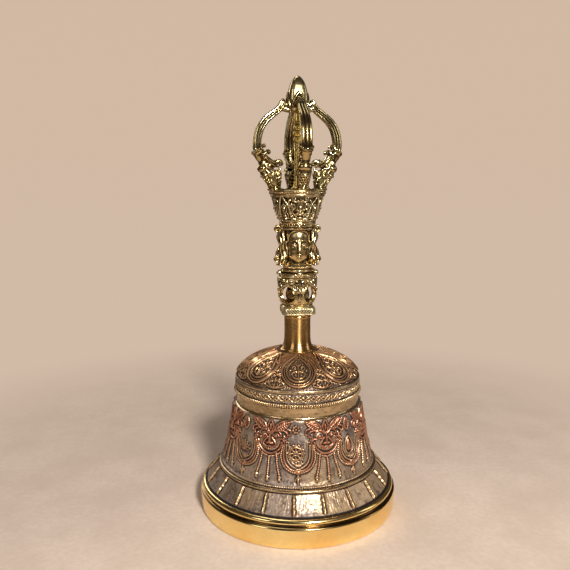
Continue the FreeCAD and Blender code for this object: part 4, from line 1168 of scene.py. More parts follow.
def build_plinth():
    g = Casting((-9.6, -9.6, 94.3), (9.6, 9.6, 99.4), 0.11)
    g.block((0, 0, 96.65), (8.0, 8.0, 1.62), rnd=0.35, k=0)
    for k in range(4):
        a = math.radians(45 + 90 * k)
        g.block((13.3 * math.sin(a), -13.3 * math.cos(a), 96.7), (3.2, 6, 4), rnd=0.1, k=0.25, R=turn_z(135 + 90 * k), cut=True)
    g.lathe([(3.3, 97.9), (7.2, 97.9), (7.35, 98.4), (7.0, 98.8), (3.3, 98.8)], k=0.2)
    for side in range(4):
        for n in range(-5, 6):
            for lean in ((-1,) if n < 0 else (1,) if n > 0 else (-1, 1)):
                u = n * 1.28
                p = [(u - 1.25 * lean, -8.0, 95.4), (u, -8.0, 96.65), (u + 1.25 * lean, -8.0, 97.9)]
                p = [q for q in p]
                if max(abs(p[0][0]), abs(p[2][0])) < 7.0:
                    g.tube(about_z(p, 90 * side), 0.30, k=0.04, raw=True, cut=True)
        for z in (95.42, 97.9):
            g.tube(about_z([(-6.1, -8.0, z), (6.1, -8.0, z)], 90 * side), 0.14, k=0.05, raw=True, cut=True)
    g.lathe([(0, 94.0), (3.3, 94.0), (3.3, 99.4), (0, 99.4)], k=0, cut=True)
    v, q, at = cast(g, 1, 0.35, 1.2)
    make_piece("engraved_plinth", v, q, BRASS_PLINTH, at, stands_for=["base_plinth"])


def build_vase():
    g = Casting((-10.8, -10.8, 97.9), (10.8, 10.8, 113.4), 0.14)
    # core bulb
    g.lathe([(3.2, 98.6), (6.4, 98.6), (6.9, 99.0), (6.8, 99.6), (5.7, 100.1), (5.0, 100.8), (5.2, 101.8), (5.7, 103.2), (5.75, 104.8), (5.2, 106.6), (4.5, 108.0), (4.3, 109.4), (3.2, 109.6)], k=0)
    # cage
    out = [(6.9, 99.3), (7.7, 100.5), (8.25, 102.4), (8.4, 104.6), (8.25, 106.8), (7.95, 108.6), (7.9, 110.2)]
    g.lathe(out + [(r - 1.0, z) for r, z in out[::-1]], k=0.2)
    g.lathe([(3.2, 109.3), (7.9, 109.4), (8.3, 110.3), (8.5, 111.3), (8.2, 112.2), (7.6, 112.7), (3.2, 112.7)], k=0.3)
    for k in range(4):
        a = 45 + 90 * k
        c = on_wall(8.6, a, 104.6)
        g.ball(c, (4.9, 3.2, 4.25), k=0.25, R=turn_z(a), cut=True)
    wall = lambda z: float(np.interp(z, [99.0, 100.5, 102.4, 104.6, 106.8, 108.6, 110.2, 112.5], [6.9, 7.7, 8.25, 8.4, 8.25, 7.95, 8.1, 8.3]))
    for k in range(4):
        a = 45 + 90 * k
        t = np.linspace(0, 2 * np.pi, 33)
        p = [on_wall(wall, a + 33.0 * math.cos(x), 104.6 + 4.3 * math.sin(x), 0.0) for x in t]
        g.tube(p, 0.34, k=0.12, raw=True)
    g.torus((0, 0, 99.25), 6.75, 0.62, k=0.25)
    g.torus((0, 0, 110.0), 8.05, 0.38, k=0.15)
    g.torus((0, 0, 112.2), 8.1, 0.45, k=0.2)
    for k in range(4):
        b = 90 * k
        T = lambda pts: about_z([(u, -math.sqrt(max((wall(z) + l) ** 2 - u * u, 0.0)), z) for u, z, l in pts], b)
        # post and its ornament: a stem, two volutes and a pointed drop, over a hollow ground
        for s in (-1, 1):
            g.ball(T([(1.9 * s, 108.6, 0.9)])[0], (1.7, 1.35, 2.6), k=0.2, R=turn_z(b), cut=True)
        g.tube(T([(0, 99.6, -0.4), (0, 102.0, -0.3), (0, 105.0, -0.2), (0, 109.0, -0.2), (0, 111.8, 0.1)]), 0.62, k=0.25)
        g.tube(T([(0, 112.6, 1.1), (0.12, 110.6, 1.1), (0, 108.2, 0.9), (0, 106.9, 0.85)]), 0.52, [0.36, 0.5, 0.55, 0.5], k=0.1)
        for s in (-1, 1):
            g.tube(T([(0.1 * s, 106.9, 0.8), (1.1 * s, 106.3, 0.8), (2.3 * s, 106.7, 0.7), (3.0 * s, 107.8, 0.6), (2.9 * s, 109.0, 0.5), (2.2 * s, 109.2, 0.55), (1.9 * s, 108.5, 0.6)]), 0.5, 0.3, k=0.08)
            g.tube(T([(0.35 * s, 107.7, 0.85), (1.05 * s, 108.5, 0.75), (1.1 * s, 109.7, 0.65)]), 0.34, 0.2, k=0.08)
            g.tube(T([(0.9 * s, 111.0, 0.5), (2.0 * s, 111.4, 0.45), (3.1 * s, 110.9, 0.3)]), 0.34, 0.24, k=0.08)
            # drop, drawn as a pair of leaves that meet in a point
            g.tube(T([(0.35 * s, 106.3, 0.8), (1.35 * s, 105.3, 0.75), (1.2 * s, 104.1, 0.7), (0.55 * s, 102.9, 0.6), (0.05 * s, 101.7, 0.5)]), 0.36, 0.24, k=0.06)
        g.ball(T([(0, 106.8, 0.9)])[0], 0.72, k=0.1)
        g.tube(T([(0, 105.9, 0.75), (0, 104.2, 0.75), (0, 102.6, 0.55)]), 0.4, 0.22, k=0.06)
        g.ball(T([(0, 101.2, 0.45)])[0], 0.42, k=0.08)
        g.ball(T([(0, 100.3, 0.4)])[0], 0.34, k=0.08)
        # leaf scrolls on the band over the window
        a = b + 45
        for s in (-1, 1):
            g.tube([on_wall(8.35, a + d * s, z, l) for d, z, l in ((3, 110.4, 0.2), (9, 110.1, 0.25), (15, 110.7, 0.2), (16, 111.5, 0.1), (11, 111.6, 0.15), (10, 111.0, 0.15))], 0.36, 0.24, k=0.08)
            g.tube([on_wall(wall, a + d * s, z, 0.25) for d, z in ((2, 109.5), (9, 109.2), (17, 108.6), (22, 107.6))], 0.34, 0.24, k=0.08)
        g.ball(on_wall(8.35, a, 110.9), 0.62, k=0.1)
        for m in range(6):
            x = math.radians(60 * m)
            g.ball(on_wall(8.3, a + math.degrees(1.0 * math.cos(x) / 8.3), 110.9 + 1.0 * math.sin(x)), 0.36, k=0.06)
    g.lathe([(0, 97.5), (3.3, 97.5), (3.3, 113.4), (0, 113.4)], k=0, cut=True)
    v, q, at = cast(g, 1)
    make_piece("vase_casting", v, q, BRASS, at, stands_for=["openwork_vase"])


def build_collar():
    g = Casting((-11, -11, 112.3), (11, 11, 118.6), 0.14)
    four = lambda a: 1.0 - 0.045 * (1 - np.cos(4 * a)) / 2 * 2
    g.lathe([(3.2, 112.6), (7.6, 112.65), (8.9, 113.2), (9.25, 113.75), (9.1, 114.2), (8.2, 114.6), (7.5, 114.8), (7.3, 115.0), (7.35, 115.3), (7.8, 115.6), (7.95, 116.0), (7.75, 116.45), (7.0, 116.75), (6.2, 116.95), (5.8, 117.2), (5.6, 118.2), (3.2, 118.2)], k=0, four=four)
    for a in (0, 90, 180, 270):
        g.ball(on_wall(8.75, a, 114.75), (1.45, 1.45, 1.35), k=0.25, R=None)
        g.ball(on_wall(7.9, a, 114.5), 0.9, k=0.3)
        g.ball(on_wall(7.5, a, 116.1), (1.05, 0.85, 0.9), k=0.12, R=turn_z(a))
        for s in (-1, 1):
            g.ball(on_wall(8.6, a + 13 * s, 114.3), 0.55, k=0.15)
            g.ball(on_wall(8.2, a + 24 * s, 114.15), 0.42, k=0.15)
    for p in ring_of(30, 5.7, 117.4, 6):
        g.ball(p, 0.48, k=0.08)
    g.torus((0, 0, 113.3), 8.75, 0.3, k=0.12)
    g.lathe([(0, 112.0), (3.3, 112.0), (3.3, 119), (0, 119)], k=0, cut=True)
    v, q, at = cast(g, 1)
    make_piece("lotus_disc", v, q, BRASS_COLLAR, at, stands_for=["lotus_collar"])


def build_head():
    g = Casting((-12.8, -10.6, 116.9), (12.8, 10.6, 139.9), 0.14)
    # neck, skull and the body of hair behind
    g.lathe([(3.2, 117.0), (6.9, 117.0), (6.9, 117.9), (6.2, 118.9), (5.2, 119.6), (4.7, 120.5), (5.2, 124.0), (6.0, 130.0), (6.6, 134.5), (7.6, 136.2), (3.2, 136.4)], k=0)
    g.ball((0, 1.0, 127.6), (6.7, 6.6, 9.6), k=0.6)
    # one smooth egg for the face, then soft cheeks, jaw and chin
    g.ball((0, -1.4, 128.0), (4.9, 5.9, 8.3), k=0.8)
    g.ball((0, -3.2, 132.0), (4.0, 3.7, 3.2), k=1.6)
    for s in (-1, 1):
        g.ball((2.3 * s, -4.6, 126.2), (1.7, 1.7, 2.2), k=1.6)
    g.ball((0, -4.6, 123.6), (2.4, 1.9, 2.0), k=1.6)
    g.ball((0, -4.7, 121.4), (1.8, 1.5, 1.35), k=1.4)
    for s in (-1, 1):
        g.ball((2.5 * s, -3.7, 123.4), (1.9, 1.9, 2.1), k=1.5)
    # eye hollows, eyes, lids and brows
    for s in (-1, 1):
        g.ball((2.1 * s, -7.9, 128.7), (1.45, 1.15, 0.85), k=0.6, cut=True)
        g.ball((2.1 * s, -6.25, 128.55), (1.2, 0.82, 0.72), k=0.15)
        g.tube([(1.02 * s, -7.0, 128.35), (1.6 * s, -7.25, 128.85), (2.2 * s, -7.2, 129.02), (2.9 * s, -6.8, 128.85), (3.4 * s, -6.3, 128.45)], 0.2, k=0.12)
        g.tube([(1.1 * s, -6.95, 128.2), (1.9 * s, -7.15, 127.95), (2.7 * s, -6.85, 128.0), (3.3 * s, -6.3, 128.3)], 0.16, k=0.12)
        g.tube([(0.55 * s, -7.35, 129.7), (1.3 * s, -7.35, 130.35), (2.3 * s, -7.05, 130.6), (3.2 * s, -6.4, 130.3), (3.8 * s, -5.7, 129.7)], 0.28, 0.16, k=0.3)
    # nose
    g.tube([(0, -6.9, 130.0), (0, -7.35, 128.6), (0, -7.9, 127.0), (0, -8.35, 125.7)], 0.5, 0.62, k=0.5)
    g.ball((0, -8.35, 125.55), (0.66, 0.62, 0.56), k=0.3)
    for s in (-1, 1):
        g.ball((0.72 * s, -7.75, 125.4), (0.46, 0.55, 0.42), k=0.25)
        g.ball((0.42 * s, -8.2, 124.95), (0.2, 0.3, 0.18), k=0.1, cut=True)
    # mouth
    g.tube([(-1.65, -6.65, 123.55), (-0.8, -7.3, 123.85), (-0.25, -7.45, 124.0), (0, -7.45, 123.9), (0.25, -7.45, 124.0), (0.8, -7.3, 123.85), (1.65, -6.65, 123.55)], 0.42, [0.14, 0.42, 0.42, 0.14], k=0.14)
    g.tube([(-1.45, -6.65, 123.3), (-0.7, -7.2, 122.95), (0, -7.35, 122.85), (0.7, -7.2, 122.95), (1.45, -6.65, 123.3)], 0.44, [0.14, 0.48, 0.14], k=0.14)
    g.tube([(-1.6, -7.0, 123.5), (-0.8, -7.65, 123.45), (0, -7.8, 123.38), (0.8, -7.65, 123.45), (1.6, -7.0, 123.5)], 0.13, k=0.06, cut=True)
    # ears with long lobes and drops
    for s in (-1, 1):
        g.tube([(5.25 * s, -2.9, 129.8), (5.85 * s, -2.9, 129.0), (5.8 * s, -2.9, 127.4), (5.35 * s, -3.1, 126.0), (5.2 * s, -3.2, 124.2)], 0.62, 0.45, k=0.25)
        g.torus((5.45 * s, -3.3, 122.9), 0.7, 0.26, axis=0, k=0.1)
    # hairline and combed hair round the back
    g.tube([(-4.9, -3.9, 130.2), (-4.6, -4.9, 132.6), (-3.0, -6.3, 134.5), (0, -7.15, 135.2), (3.0, -6.3, 134.5), (4.6, -4.9, 132.6), (4.9, -3.9, 130.2)], 0.42, k=0.15)
    for n in range(-13, 14):
        a = 180 + n * 8.6
        w = 1 if n % 2 else -1
        z = np.linspace(135.6, 118.2, 30)
        rad = np.interp(z, [117.5, 119, 122, 128, 134, 136], [5.6, 6.7, 7.2, 7.4, 7.2, 7.4])
        p = [on_wall(rr, a + 2.2 * math.sin(zz * 1.05 + 0.8 * n), zz) for rr, zz in zip(rad, z)]
        g.tube(p, 0.5, [0.42, 0.55, 0.5, 0.34], k=0.12, raw=True)
    # knot of hair and its ties at the back
    for z in (121.4, 128.5, 133.6):
        t = np.radians(np.linspace(112, 248, 30))
        g.tube([(7.9 * math.sin(x), -7.9 * math.cos(x), z + 0.25 * math.cos(3 * x)) for x in t], 0.42, k=0.15, raw=True)
    # side locks, the scroll at the temple and the curl at the shoulder
    for s in (-1, 1):
        for j, (y0, x0, ph) in enumerate(((-3.0, 7.1, 0.0), (-1.6, 8.3, 1.2), (0.0, 8.9, 2.4), (1.6, 8.4, 3.6), (3.0, 7.4, 4.8))):
            z = np.linspace(135.4, 119.4, 26)
            f = (135.4 - z) / 16.0
            x = x0 + 0.42 * np.sin(z * 0.85 + ph) + np.interp(f, [0, 0.25, 0.6, 1], [0.0, 0.25, -0.5, -0.1])
            y = y0 * np.interp(f, [0, 0.3, 0.7, 1.0], [0.85, 1.1, 0.9, 1.05]) + 0.3 * np.sin(z * 0.85 + ph + 1.5)
            g.tube(np.stack([x * s, y, z], 1), 0.62, [0.5, 0.66, 0.6, 0.5], k=0.16, raw=True)
        g.tube([(6.2 * s, 0, 134.5), (6.6 * s, 0, 128.0), (6.2 * s, 0, 120.0)], 1.7, k=0.3)
        # temple scroll
        t = np.linspace(0, 1, 26)
        rr = 1.6 * (1 - 0.62 * t); an = -2.2 + 7.6 * t
        g.tube(np.stack([s * (9.5 + rr * np.cos(an)), 0 * t, 136.0 + rr * np.sin(an)], 1), 0.5, [0.55, 0.5, 0.42], k=0.08, flat=(1, 2.5, 1), raw=True)
        g.ball((9.5 * s, 0, 136.0), (0.6, 1.75, 0.6), k=0.1)
        g.tube([(8.7 * s, 0, 134.9), (8.2 * s, 0, 133.4), (8.6 * s, 0, 131.6)], 0.55, 0.35, k=0.2, flat=(1, 2.6, 1))
        # shoulder curl
        rr = 1.45 * (1 - 0.6 * t); an = 1.9 - 7.0 * t
        g.tube(np.stack([s * (9.8 + rr * np.cos(an)), 0 * t, 121.2 + rr * np.sin(an)], 1), 0.46, [0.5, 0.46, 0.36], k=0.08, flat=(1, 2.6, 1), raw=True)
        g.tube([(9.3 * s, 0, 126.6), (9.9 * s, 0, 124.8), (10.2 * s, 0, 122.9)], 0.5, 0.45, k=0.15, flat=(1, 2.6, 1))
        g.ball((9.8 * s, 0, 121.2), (0.5, 1.6, 0.5), k=0.1)
        g.tube([(8.7 * s, -1.2, 119.6), (9.6 * s, -0.9, 118.6), (10.2 * s, -0.6, 118.9)], 0.55, 0.3, k=0.15)
        g.ball((8.4 * s, 0, 118.6), (1.2, 2.3, 0.8), k=0.3)
    # necklace
    for a in range(-70, 71, 7):
        g.ball(on_wall(6.85, a, 117.75), 0.32, k=0.06)
    # head band: two rings, a row of pearls between them and a front jewel
    g.lathe([(3.0, 135.4), (7.7, 135.5), (7.9, 139.2), (3.0, 139.2)], k=0.3)
    g.torus((0, 0, 135.9), 8.05, 0.5, k=0.1)
    g.torus((0, 0, 137.1), 7.95, 0.42, k=0.1)
    g.torus((0, 0, 138.6), 8.25, 0.5, k=0.1)
    for p in ring_of(42, 8.2, 137.85):
        g.ball(p, 0.3, k=0.05)
    for a in (0, 90, 180, 270):
        g.ball(on_wall(8.5, a, 137.1), (0.95, 0.6, 1.0), k=0.1, R=turn_z(a))
        for m in range(8):
            x = math.radians(45 * m)
            g.ball(on_wall(8.45, a + math.degrees(1.25 * math.cos(x) / 8.5), 137.1 + 1.25 * math.sin(x)), 0.33, k=0.05)
    g.lathe([(0, 116.5), (3.3, 116.5), (3.3, 128.4), (0, 128.4)], k=0, cut=True)
    g.lathe([(0, 129.6), (2.1, 129.6), (2.1, 140.5), (0, 140.5)], k=0, cut=True)
    v, q, at = cast(g, 1)
    make_piece("deity_casting", v, q, BRASS, at, stands_for=["deity_head"])


def build_crown():
    g = Casting((-14.6, -14.6, 138.9), (14.6, 14.6, 152.5), 0.15)
    wall = lambda z: float(np.interp(z, [139.0, 141.5, 144.5, 148.0, 150.6, 152.2], [8.2, 8.8, 9.9, 11.0, 12.0, 12.8]))
    zz = np.linspace(139.2, 151.9, 9)
    g.lathe([(2.2, 139.2)] + [(wall(z) - 1.25, z) for z in zz] + [(2.2, 151.9)], k=0)
    g.torus((0, 0, 139.6), 8.35, 0.5, k=0.15)
    g.torus((0, 0, 151.5), 12.45, 0.55, k=0.15)
    g.torus((0, 0, 140.75), 8.15, 0.3, k=0.1)
    for side in range(4):
        b = 90 * side
        W = lambda pts, r, r1=None, lift=0.1, k=0.08: wall_tube(g, wall, [(b + a, z) for a, z in pts], r * 1.08, None if r1 is None else r1 * 1.15, k=k, lift=lift - 0.25)
        B = lambda a, z, r, lift=0.2, k=0.08: g.ball(on_wall(wall, b + a, z, lift), r, k=k, R=None if np.isscalar(r) else turn_z(b + a))
        # central jewel with its flame
        B(0, 141.0, (1.25, 0.95, 0.75), 0.35)
        B(0, 142.6, (1.0, 0.9, 0.7), 0.4)
        B(0, 144.0, (0.8, 0.85, 0.62), 0.45)
        B(0, 145.7, (0.75, 0.8, 1.15), 0.5)
        W([(0, 146.2), (0, 148.0), (0, 150.4)], 0.6, 0.18, 0.5)
        for s in (-1, 1):
            W([(s * 3, 140.3), (s * 9, 140.7), (s * 12, 142.0), (s * 9, 142.9), (s * 6, 142.3)], 0.42, 0.26, 0.3)
            W([(s * 4, 143.8), (s * 7, 145.4), (s * 5, 147.2), (s * 2.5, 148.6)], 0.38, 0.22, 0.35)
            W([(s * 7, 143.2), (s * 14, 142.4), (s * 20, 144.0), (s * 21, 146.4), (s * 16, 147.3), (s * 13, 146.0), (s * 15.5, 145.1)], 0.46, 0.26, 0.35)
            W([(s * 5.5, 148.8), (s * 10, 148.2), (s * 16, 149.0), (s * 18, 150.3), (s * 14, 150.9), (s * 11, 150.1)], 0.42, 0.26, 0.35)
            W([(s * 14, 140.4), (s * 20, 141.0), (s * 24, 142.8), (s * 22, 143.4)], 0.38, 0.24, 0.25)
            W([(s * 22, 147.4), (s * 26, 146.2), (s * 28.5, 147.6), (s * 26, 149.2), (s * 22.5, 149.0)], 0.38, 0.24, 0.3)
            W([(s * 20, 150.9), (s * 27, 150.6), (s * 33, 150.9)], 0.32, 0.3, 0.2)
            # border rib of the leaf
            W([(s * 25.5, 139.9), (s * 27, 143.0), (s * 32, 146.6), (s * 39, 149.4), (s * 46, 151.4)], 0.52, 0.42, 0.3)
            for f in np.linspace(0, 1, 13):
                B(s * np.interp(f, [0, 0.25, 0.55, 1], [21.8, 23.6, 28.6, 40.0]), 140.3 + 10.4 * f, 0.27, 0.25, 0.03)
            B(s * 17.6, 145.0, 0.5, 0.3)
            B(s * 12, 149.6, 0.42, 0.3)
            B(s * 9.5, 144.6, 0.38, 0.3)
            B(s * 31, 149.6, 0.42, 0.2)
            B(s * 18.5, 141.8, 0.36, 0.3)
        # filler between two leaves
        for a, z, r in ((45, 140.6, (0.9, 0.8, 0.7)), (45, 142.2, (0.75, 0.75, 0.7)), (45, 145.2, (0.7, 0.7, 1.1))):
            g.ball(on_wall(wall, b + a, z, 0.1), r, k=0.08, R=turn_z(b + a))
        for s in (-1, 1):
            W([(45 + s * 1.5, 143.3), (45 + s * 6, 144.2), (45 + s * 7, 146.2), (45 + s * 3.5, 146.9), (45 + s * 3, 145.6)], 0.34, 0.22, 0.15)
            W([(45 + s * 2, 141.3), (45 + s * 7, 141.0), (45 + s * 10, 142.2), (45 + s * 8, 143.1)], 0.34, 0.22, 0.15)
        W([(45, 146.2), (45, 148.4)], 0.36, 0.16, 0.1)
    g.lathe([(0, 138.5), (2.1, 138.5), (2.1, 153), (0, 153)], k=0, cut=True)
    v, q, at = cast(g, 1)
    make_piece("leaf_crown", v, q, BRASS_CROWN, at, stands_for=["crown"])


def build_seat():
    prof = [(2.2, 151.9), (12.3, 151.9), (12.9, 151.95), (13.3, 152.1), (13.42, 152.3), (13.3, 152.45), (13.2, 152.5), (13.2, 152.95), (13.3, 153.0), (13.5, 153.15),
            (13.5, 153.45), (13.25, 153.7), (12.7, 153.85), (12.2, 153.95), (11.7, 154.2), (10.9, 154.3), (9.9, 154.2), (9.4, 154.02), (6.4, 154.0), (6.0, 154.15), (5.4, 154.3),
            (4.8, 154.15), (4.4, 154.0), (2.2, 154.0), (2.2, 151.9)]
    prof = even(prof, 0.13)
    box = {}

    def relief(ang, s, r, z):
        bead = np.sqrt(np.maximum(0, 1 - (((ang * 68 / (2 * np.pi)) % 1 - 0.5) / 0.44) ** 2)) * np.maximum(0, 1 - ((z - 152.72) / 0.38) ** 2) ** 0.5
        h = 0.5 * bead * (r > 13.0)
        petal = np.maximum(0, np.cos(ang * 32)) ** 0.6 * np.maximum(0, 1 - ((r - 10.8) / 0.95) ** 2) * (z > 154.0)
        h = h + 0.28 * petal
        box["h"] = h
        return h

    v, f, h = turned(prof[:-1], 816, relief, closed_ring=True)
    blur = box_blur(box_blur(box["h"], 4, 1, True), 3, 0)
    cav = np.clip((blur - box["h"]) * 2.4, -1, 1)
    zc = np.broadcast_to(prof[:-1, 1][:, None], cav.shape); rc = np.broadcast_to(prof[:-1, 0][:, None], cav.shape)
    cav = cav + 0.4 * (rc < 12.2) * (zc > 153.8) + 0.35 * ((zc > 152.4) & (zc < 153.0)) * (box["h"] < 0.1)
    make_piece("beaded_seat", v, f, BRASS, {"cav_fine": cav, "cav_broad": 0.2 * (rc < 12.0)}, stands_for=["vajra_seat"])


def build_prongs():
    g = Casting((3.0, -4.6, 153.5), (23.8, 4.6, 198.2), 0.15)
    # bow: a flat bar, ribs on its edges and hollows between them
    mid = catmull([(18.55, 170.2), (18.95, 172.4), (19.2, 175.2), (18.7, 179.2), (17.3, 183.0), (14.9, 186.2), (12.0, 188.6), (9.5, 190.5), (8.0, 192.2), (7.1, 194.0)], 0.45)
    n = len(mid)
    tan = np.gradient(mid, axis=0); tan /= np.linalg.norm(tan, axis=1, keepdims=True)
    nor = np.stack([tan[:, 1], -tan[:, 0]], 1)
    f = np.linspace(0, 1, n)
    w = np.interp(f, [0, 0.15, 0.35, 0.6, 0.8, 0.92, 1], [0.95, 1.0, 0.98, 0.9, 0.8, 0.78, 0.8])
    wt = np.interp(f, [0, 0.2, 0.4, 0.7, 1], [0.92, 1.0, 0.97, 0.8, 0.7])

    def rib(out, t, r, k=0.06):
        c = mid + nor * (out * w)[:, None]
        p = np.stack([c[:, 0], t * wt, c[:, 1]], 1)
        g.tube(p, r, list(r * w[:: max(1, n // 12)]), k=k, raw=True)

    for t in (-1.2, -0.4, 0.4, 1.2):
        rib(0.0, t, 1.1, 0.3)
    for t in (-1.72, 1.72):
        rib(1.02, t, 0.82)
        rib(-1.22, t * 0.86, 0.70)
        rib(-0.12, t * 1.16, 0.36)
    rib(1.28, 0.0, 0.72)
    for out, t, r in ((1.62, 0.86, 0.36), (1.62, -0.86, 0.36), (0.40, 2.12, 0.34), (0.40, -2.12, 0.34), (-0.62, 2.0, 0.30), (-0.62, -2.0, 0.30)):
        c = mid + nor * (out * w)[:, None]
        g.tube(np.stack([c[:, 0], t * wt, c[:, 1]], 1)[2:-3], r, k=0.04, raw=True, cut=True)
    rib(-1.42, 0.0, 0.66)
    g.ball((5.4, 0, 192.1), (1.7, 1.3, 1.5), k=0.5)
    # curled end and the web onto the finial
    g.tube([(8.0, 0, 192.2), (7.1, 0, 193.6), (6.75, 0, 194.6), (7.0, 0, 195.2)], 1.1, [1.15, 1.1, 1.0, 0.7], k=0.25, flat=(1, 1.5, 1))
    for t in (-1.15, 1.15):
        g.tube([(8.4, t, 192.6), (7.7, t, 194.0), (7.35, t, 195.2)], 0.42, [0.5, 0.5, 0.34], k=0.08)
    g.tube([(8.0, 0, 191.6), (6.6, 0, 191.2), (5.0, 0, 190.9), (3.8, 0, 190.7)], 1.1, [1.15, 1.05, 1.1, 1.2], k=0.35, flat=(1, 1.25, 1))
    g.tube([(7.0, 0, 193.2), (5.6, 0, 192.9), (4.2, 0, 192.6)], 1.1, k=0.35, flat=(1, 1.2, 1))
    # monster head. Foot ring and the body that stands on it
    g.torus((10.9, 0, 154.35), 3.05, 0.5, k=0.12)
    g.torus((11.0, 0, 155.35), 2.8, 0.32, k=0.1)
    g.tube([(11.0, 0, 153.9), (11.2, 0, 155.6), (11.7, 0, 158.2), (12.9, 0, 161.0), (14.6, 0, 163.8), (16.2, 0, 166.6)], 2.5, [2.6, 2.55, 2.75, 2.6, 2.2, 1.9], k=0.2, flat=(1.12, 0.92, 1))
    g.tube([(12.0, 0, 154.6), (13.3, 0, 157.4), (15.1, 0, 160.4), (16.0, 0, 162.0)], 1.5, [1.4, 1.6, 1.85, 1.9], k=0.3, flat=(0.95, 1.3, 1))
    # small net of scales on the outer side of the body
    for row in range(5):
        z = 156.3 + row * 1.0
        cx = np.interp(z, [154.6, 157.4, 160.4], [12.0, 13.3, 15.1]); rr = np.interp(z, [154.6, 157.4, 160.4], [1.45, 1.65, 1.9])
        for m in range(-3, 4):
            a = math.radians(24 * (m + 0.5 * (row % 2)))
            g.ball((cx + rr * 0.95 * math.cos(a), 1.5 * rr * math.sin(a), z), (0.34, 0.42, 0.52), k=0.08)
    for row in range(5):
        z = 155.9 + row * 1.08
        cx = np.interp(z, [154.6, 157.4, 160.4], [12.0, 13.3, 15.1]); rr = np.interp(z, [154.6, 157.4, 160.4], [1.45, 1.65, 1.9])
        for m in range(-2, 3):
            a = math.radians(30 * (m + 0.5 * (row % 2)))
            g.ball((cx + 1.16 * rr * math.cos(a), 1.34 * rr * math.sin(a), z), (0.52, 0.44, 0.46), k=0.04, cut=True)
    # ring, smooth bulge and neck that carry the cup of the bow
    t = np.linspace(0, 2 * np.pi, 33)
    loop = lambda c, a, b, tilt, up=0.0: np.stack([c[0] + a * np.cos(t) * math.cos(tilt), b * np.sin(t), c[1] + a * np.cos(t) * math.sin(tilt) + up * np.sin(t) ** 2], 1)
    g.ball((16.45, 0, 163.9), (2.75, 3.3, 2.2), k=0.08)
    g.tube(loop((15.4, 160.9), 2.1, 2.6, -0.36), 0.40, k=0.08, raw=True)
    g.tube([(16.7, 0, 165.6), (17.3, 0, 167.6), (18.1, 0, 169.4), (18.5, 0, 170.4)], 1.9, [1.75, 1.6, 2.0, 2.4], k=0.12, flat=(0.95, 1.12, 1))
    g.tube(loop((18.65, 171.4), 2.35, 3.05, -0.22, 1.1), 0.52, k=0.1, raw=True)
    g.tube(loop((18.45, 170.6), 2.05, 2.65, -0.22, 0.6), 0.5, k=0.25, raw=True)
    g.tube([(20.7, 0, 170.3), (21.35, 0, 170.8), (21.5, 0, 171.5)], 0.5, [0.6, 0.5, 0.3], k=0.15)
    for s in (-1, 1):
        # points of the cup at the side of the bow
        g.tube([(18.4, 2.8 * s, 172.0), (17.6, 2.7 * s, 173.1), (16.7, 2.3 * s, 174.3), (16.0, 1.9 * s, 174.6), (15.6, 1.8 * s, 173.9)], 0.6, [0.62, 0.6, 0.55, 0.45], k=0.15)
        g.tube([(16.4, 2.4 * s, 169.4), (15.5, 2.3 * s, 171.0), (14.5, 1.9 * s, 172.0), (13.6, 1.6 * s, 171.7), (13.6, 1.5 * s, 170.8)], 0.62, [0.7, 0.66, 0.6, 0.48], k=0.15)
        # lips: long ribs that sweep from the trunk up to the cup
        g.tube([(9.4, 1.7 * s, 166.2), (11.2, 2.1 * s, 166.6), (13.4, 2.35 * s, 168.0), (15.4, 2.45 * s, 169.6), (17.6, 2.7 * s, 171.2)], 0.5, [0.4, 0.5, 0.55, 0.5, 0.45], k=0.08)
        g.tube([(9.3, 1.6 * s, 164.8), (11.4, 2.2 * s, 165.2), (13.2, 2.5 * s, 166.5), (15.0, 2.55 * s, 168.3)], 0.42, [0.34, 0.44, 0.48, 0.4], k=0.07)
        # eye under its brow
        g.ball((13.7, 2.25 * s, 165.0), (0.95, 0.7, 0.85), k=0.06)
        g.tube([(12.3, 2.35 * s, 164.2), (13.3, 2.5 * s, 163.8), (14.7, 2.55 * s, 164.3), (15.1, 2.5 * s, 165.5)], 0.34, [0.3, 0.36, 0.36, 0.28], k=0.06)
        # long smooth cheek, and a coil in front of it
        g.tube([(12.9, 2.35 * s, 160.3), (14.0, 2.6 * s, 161.5), (15.2, 2.6 * s, 162.9)], 0.9, [0.75, 1.0, 0.7], k=0.06)
        q = np.linspace(0, 1, 26)
        rr = 2.0 * (1 - 0.62 * q); an = 1.9 + 7.4 * q
        g.tube(np.stack([9.95 + rr * np.cos(an), s * (2.15 + 0.15 * q), 161.0 + rr * np.sin(an)], 1), 0.42, 0.34, k=0.06, raw=True)
        g.ball((9.95, 2.2 * s, 161.0), (0.72, 0.62, 0.72), k=0.06)
        # folds that run down to the foot
        g.tube([(11.9, 2.3 * s, 162.4), (12.2, 2.45 * s, 160.4), (11.4, 2.4 * s, 158.4), (10.2, 2.3 * s, 157.0), (9.0, 2.1 * s, 156.6)], 0.42, [0.34, 0.44, 0.42, 0.3], k=0.07)
        g.tube([(13.0, 2.2 * s, 159.0), (12.6, 2.3 * s, 157.4), (11.4, 2.3 * s, 156.1)], 0.36, [0.3, 0.38, 0.28], k=0.07)
        g.tube([(9.3, 2.0 * s, 158.6), (8.6, 1.8 * s, 157.6), (8.5, 1.7 * s, 156.2)], 0.4, [0.34, 0.42, 0.3], k=0.07)
        # fangs
        g.tube([(11.9, 1.5 * s, 163.4), (11.4, 1.6 * s, 162.5)], 0.32, 0.14, k=0.06, raw=True)
        g.tube([(10.6, 1.3 * s, 164.1), (10.3, 1.4 * s, 163.3)], 0.28, 0.12, k=0.06, raw=True)
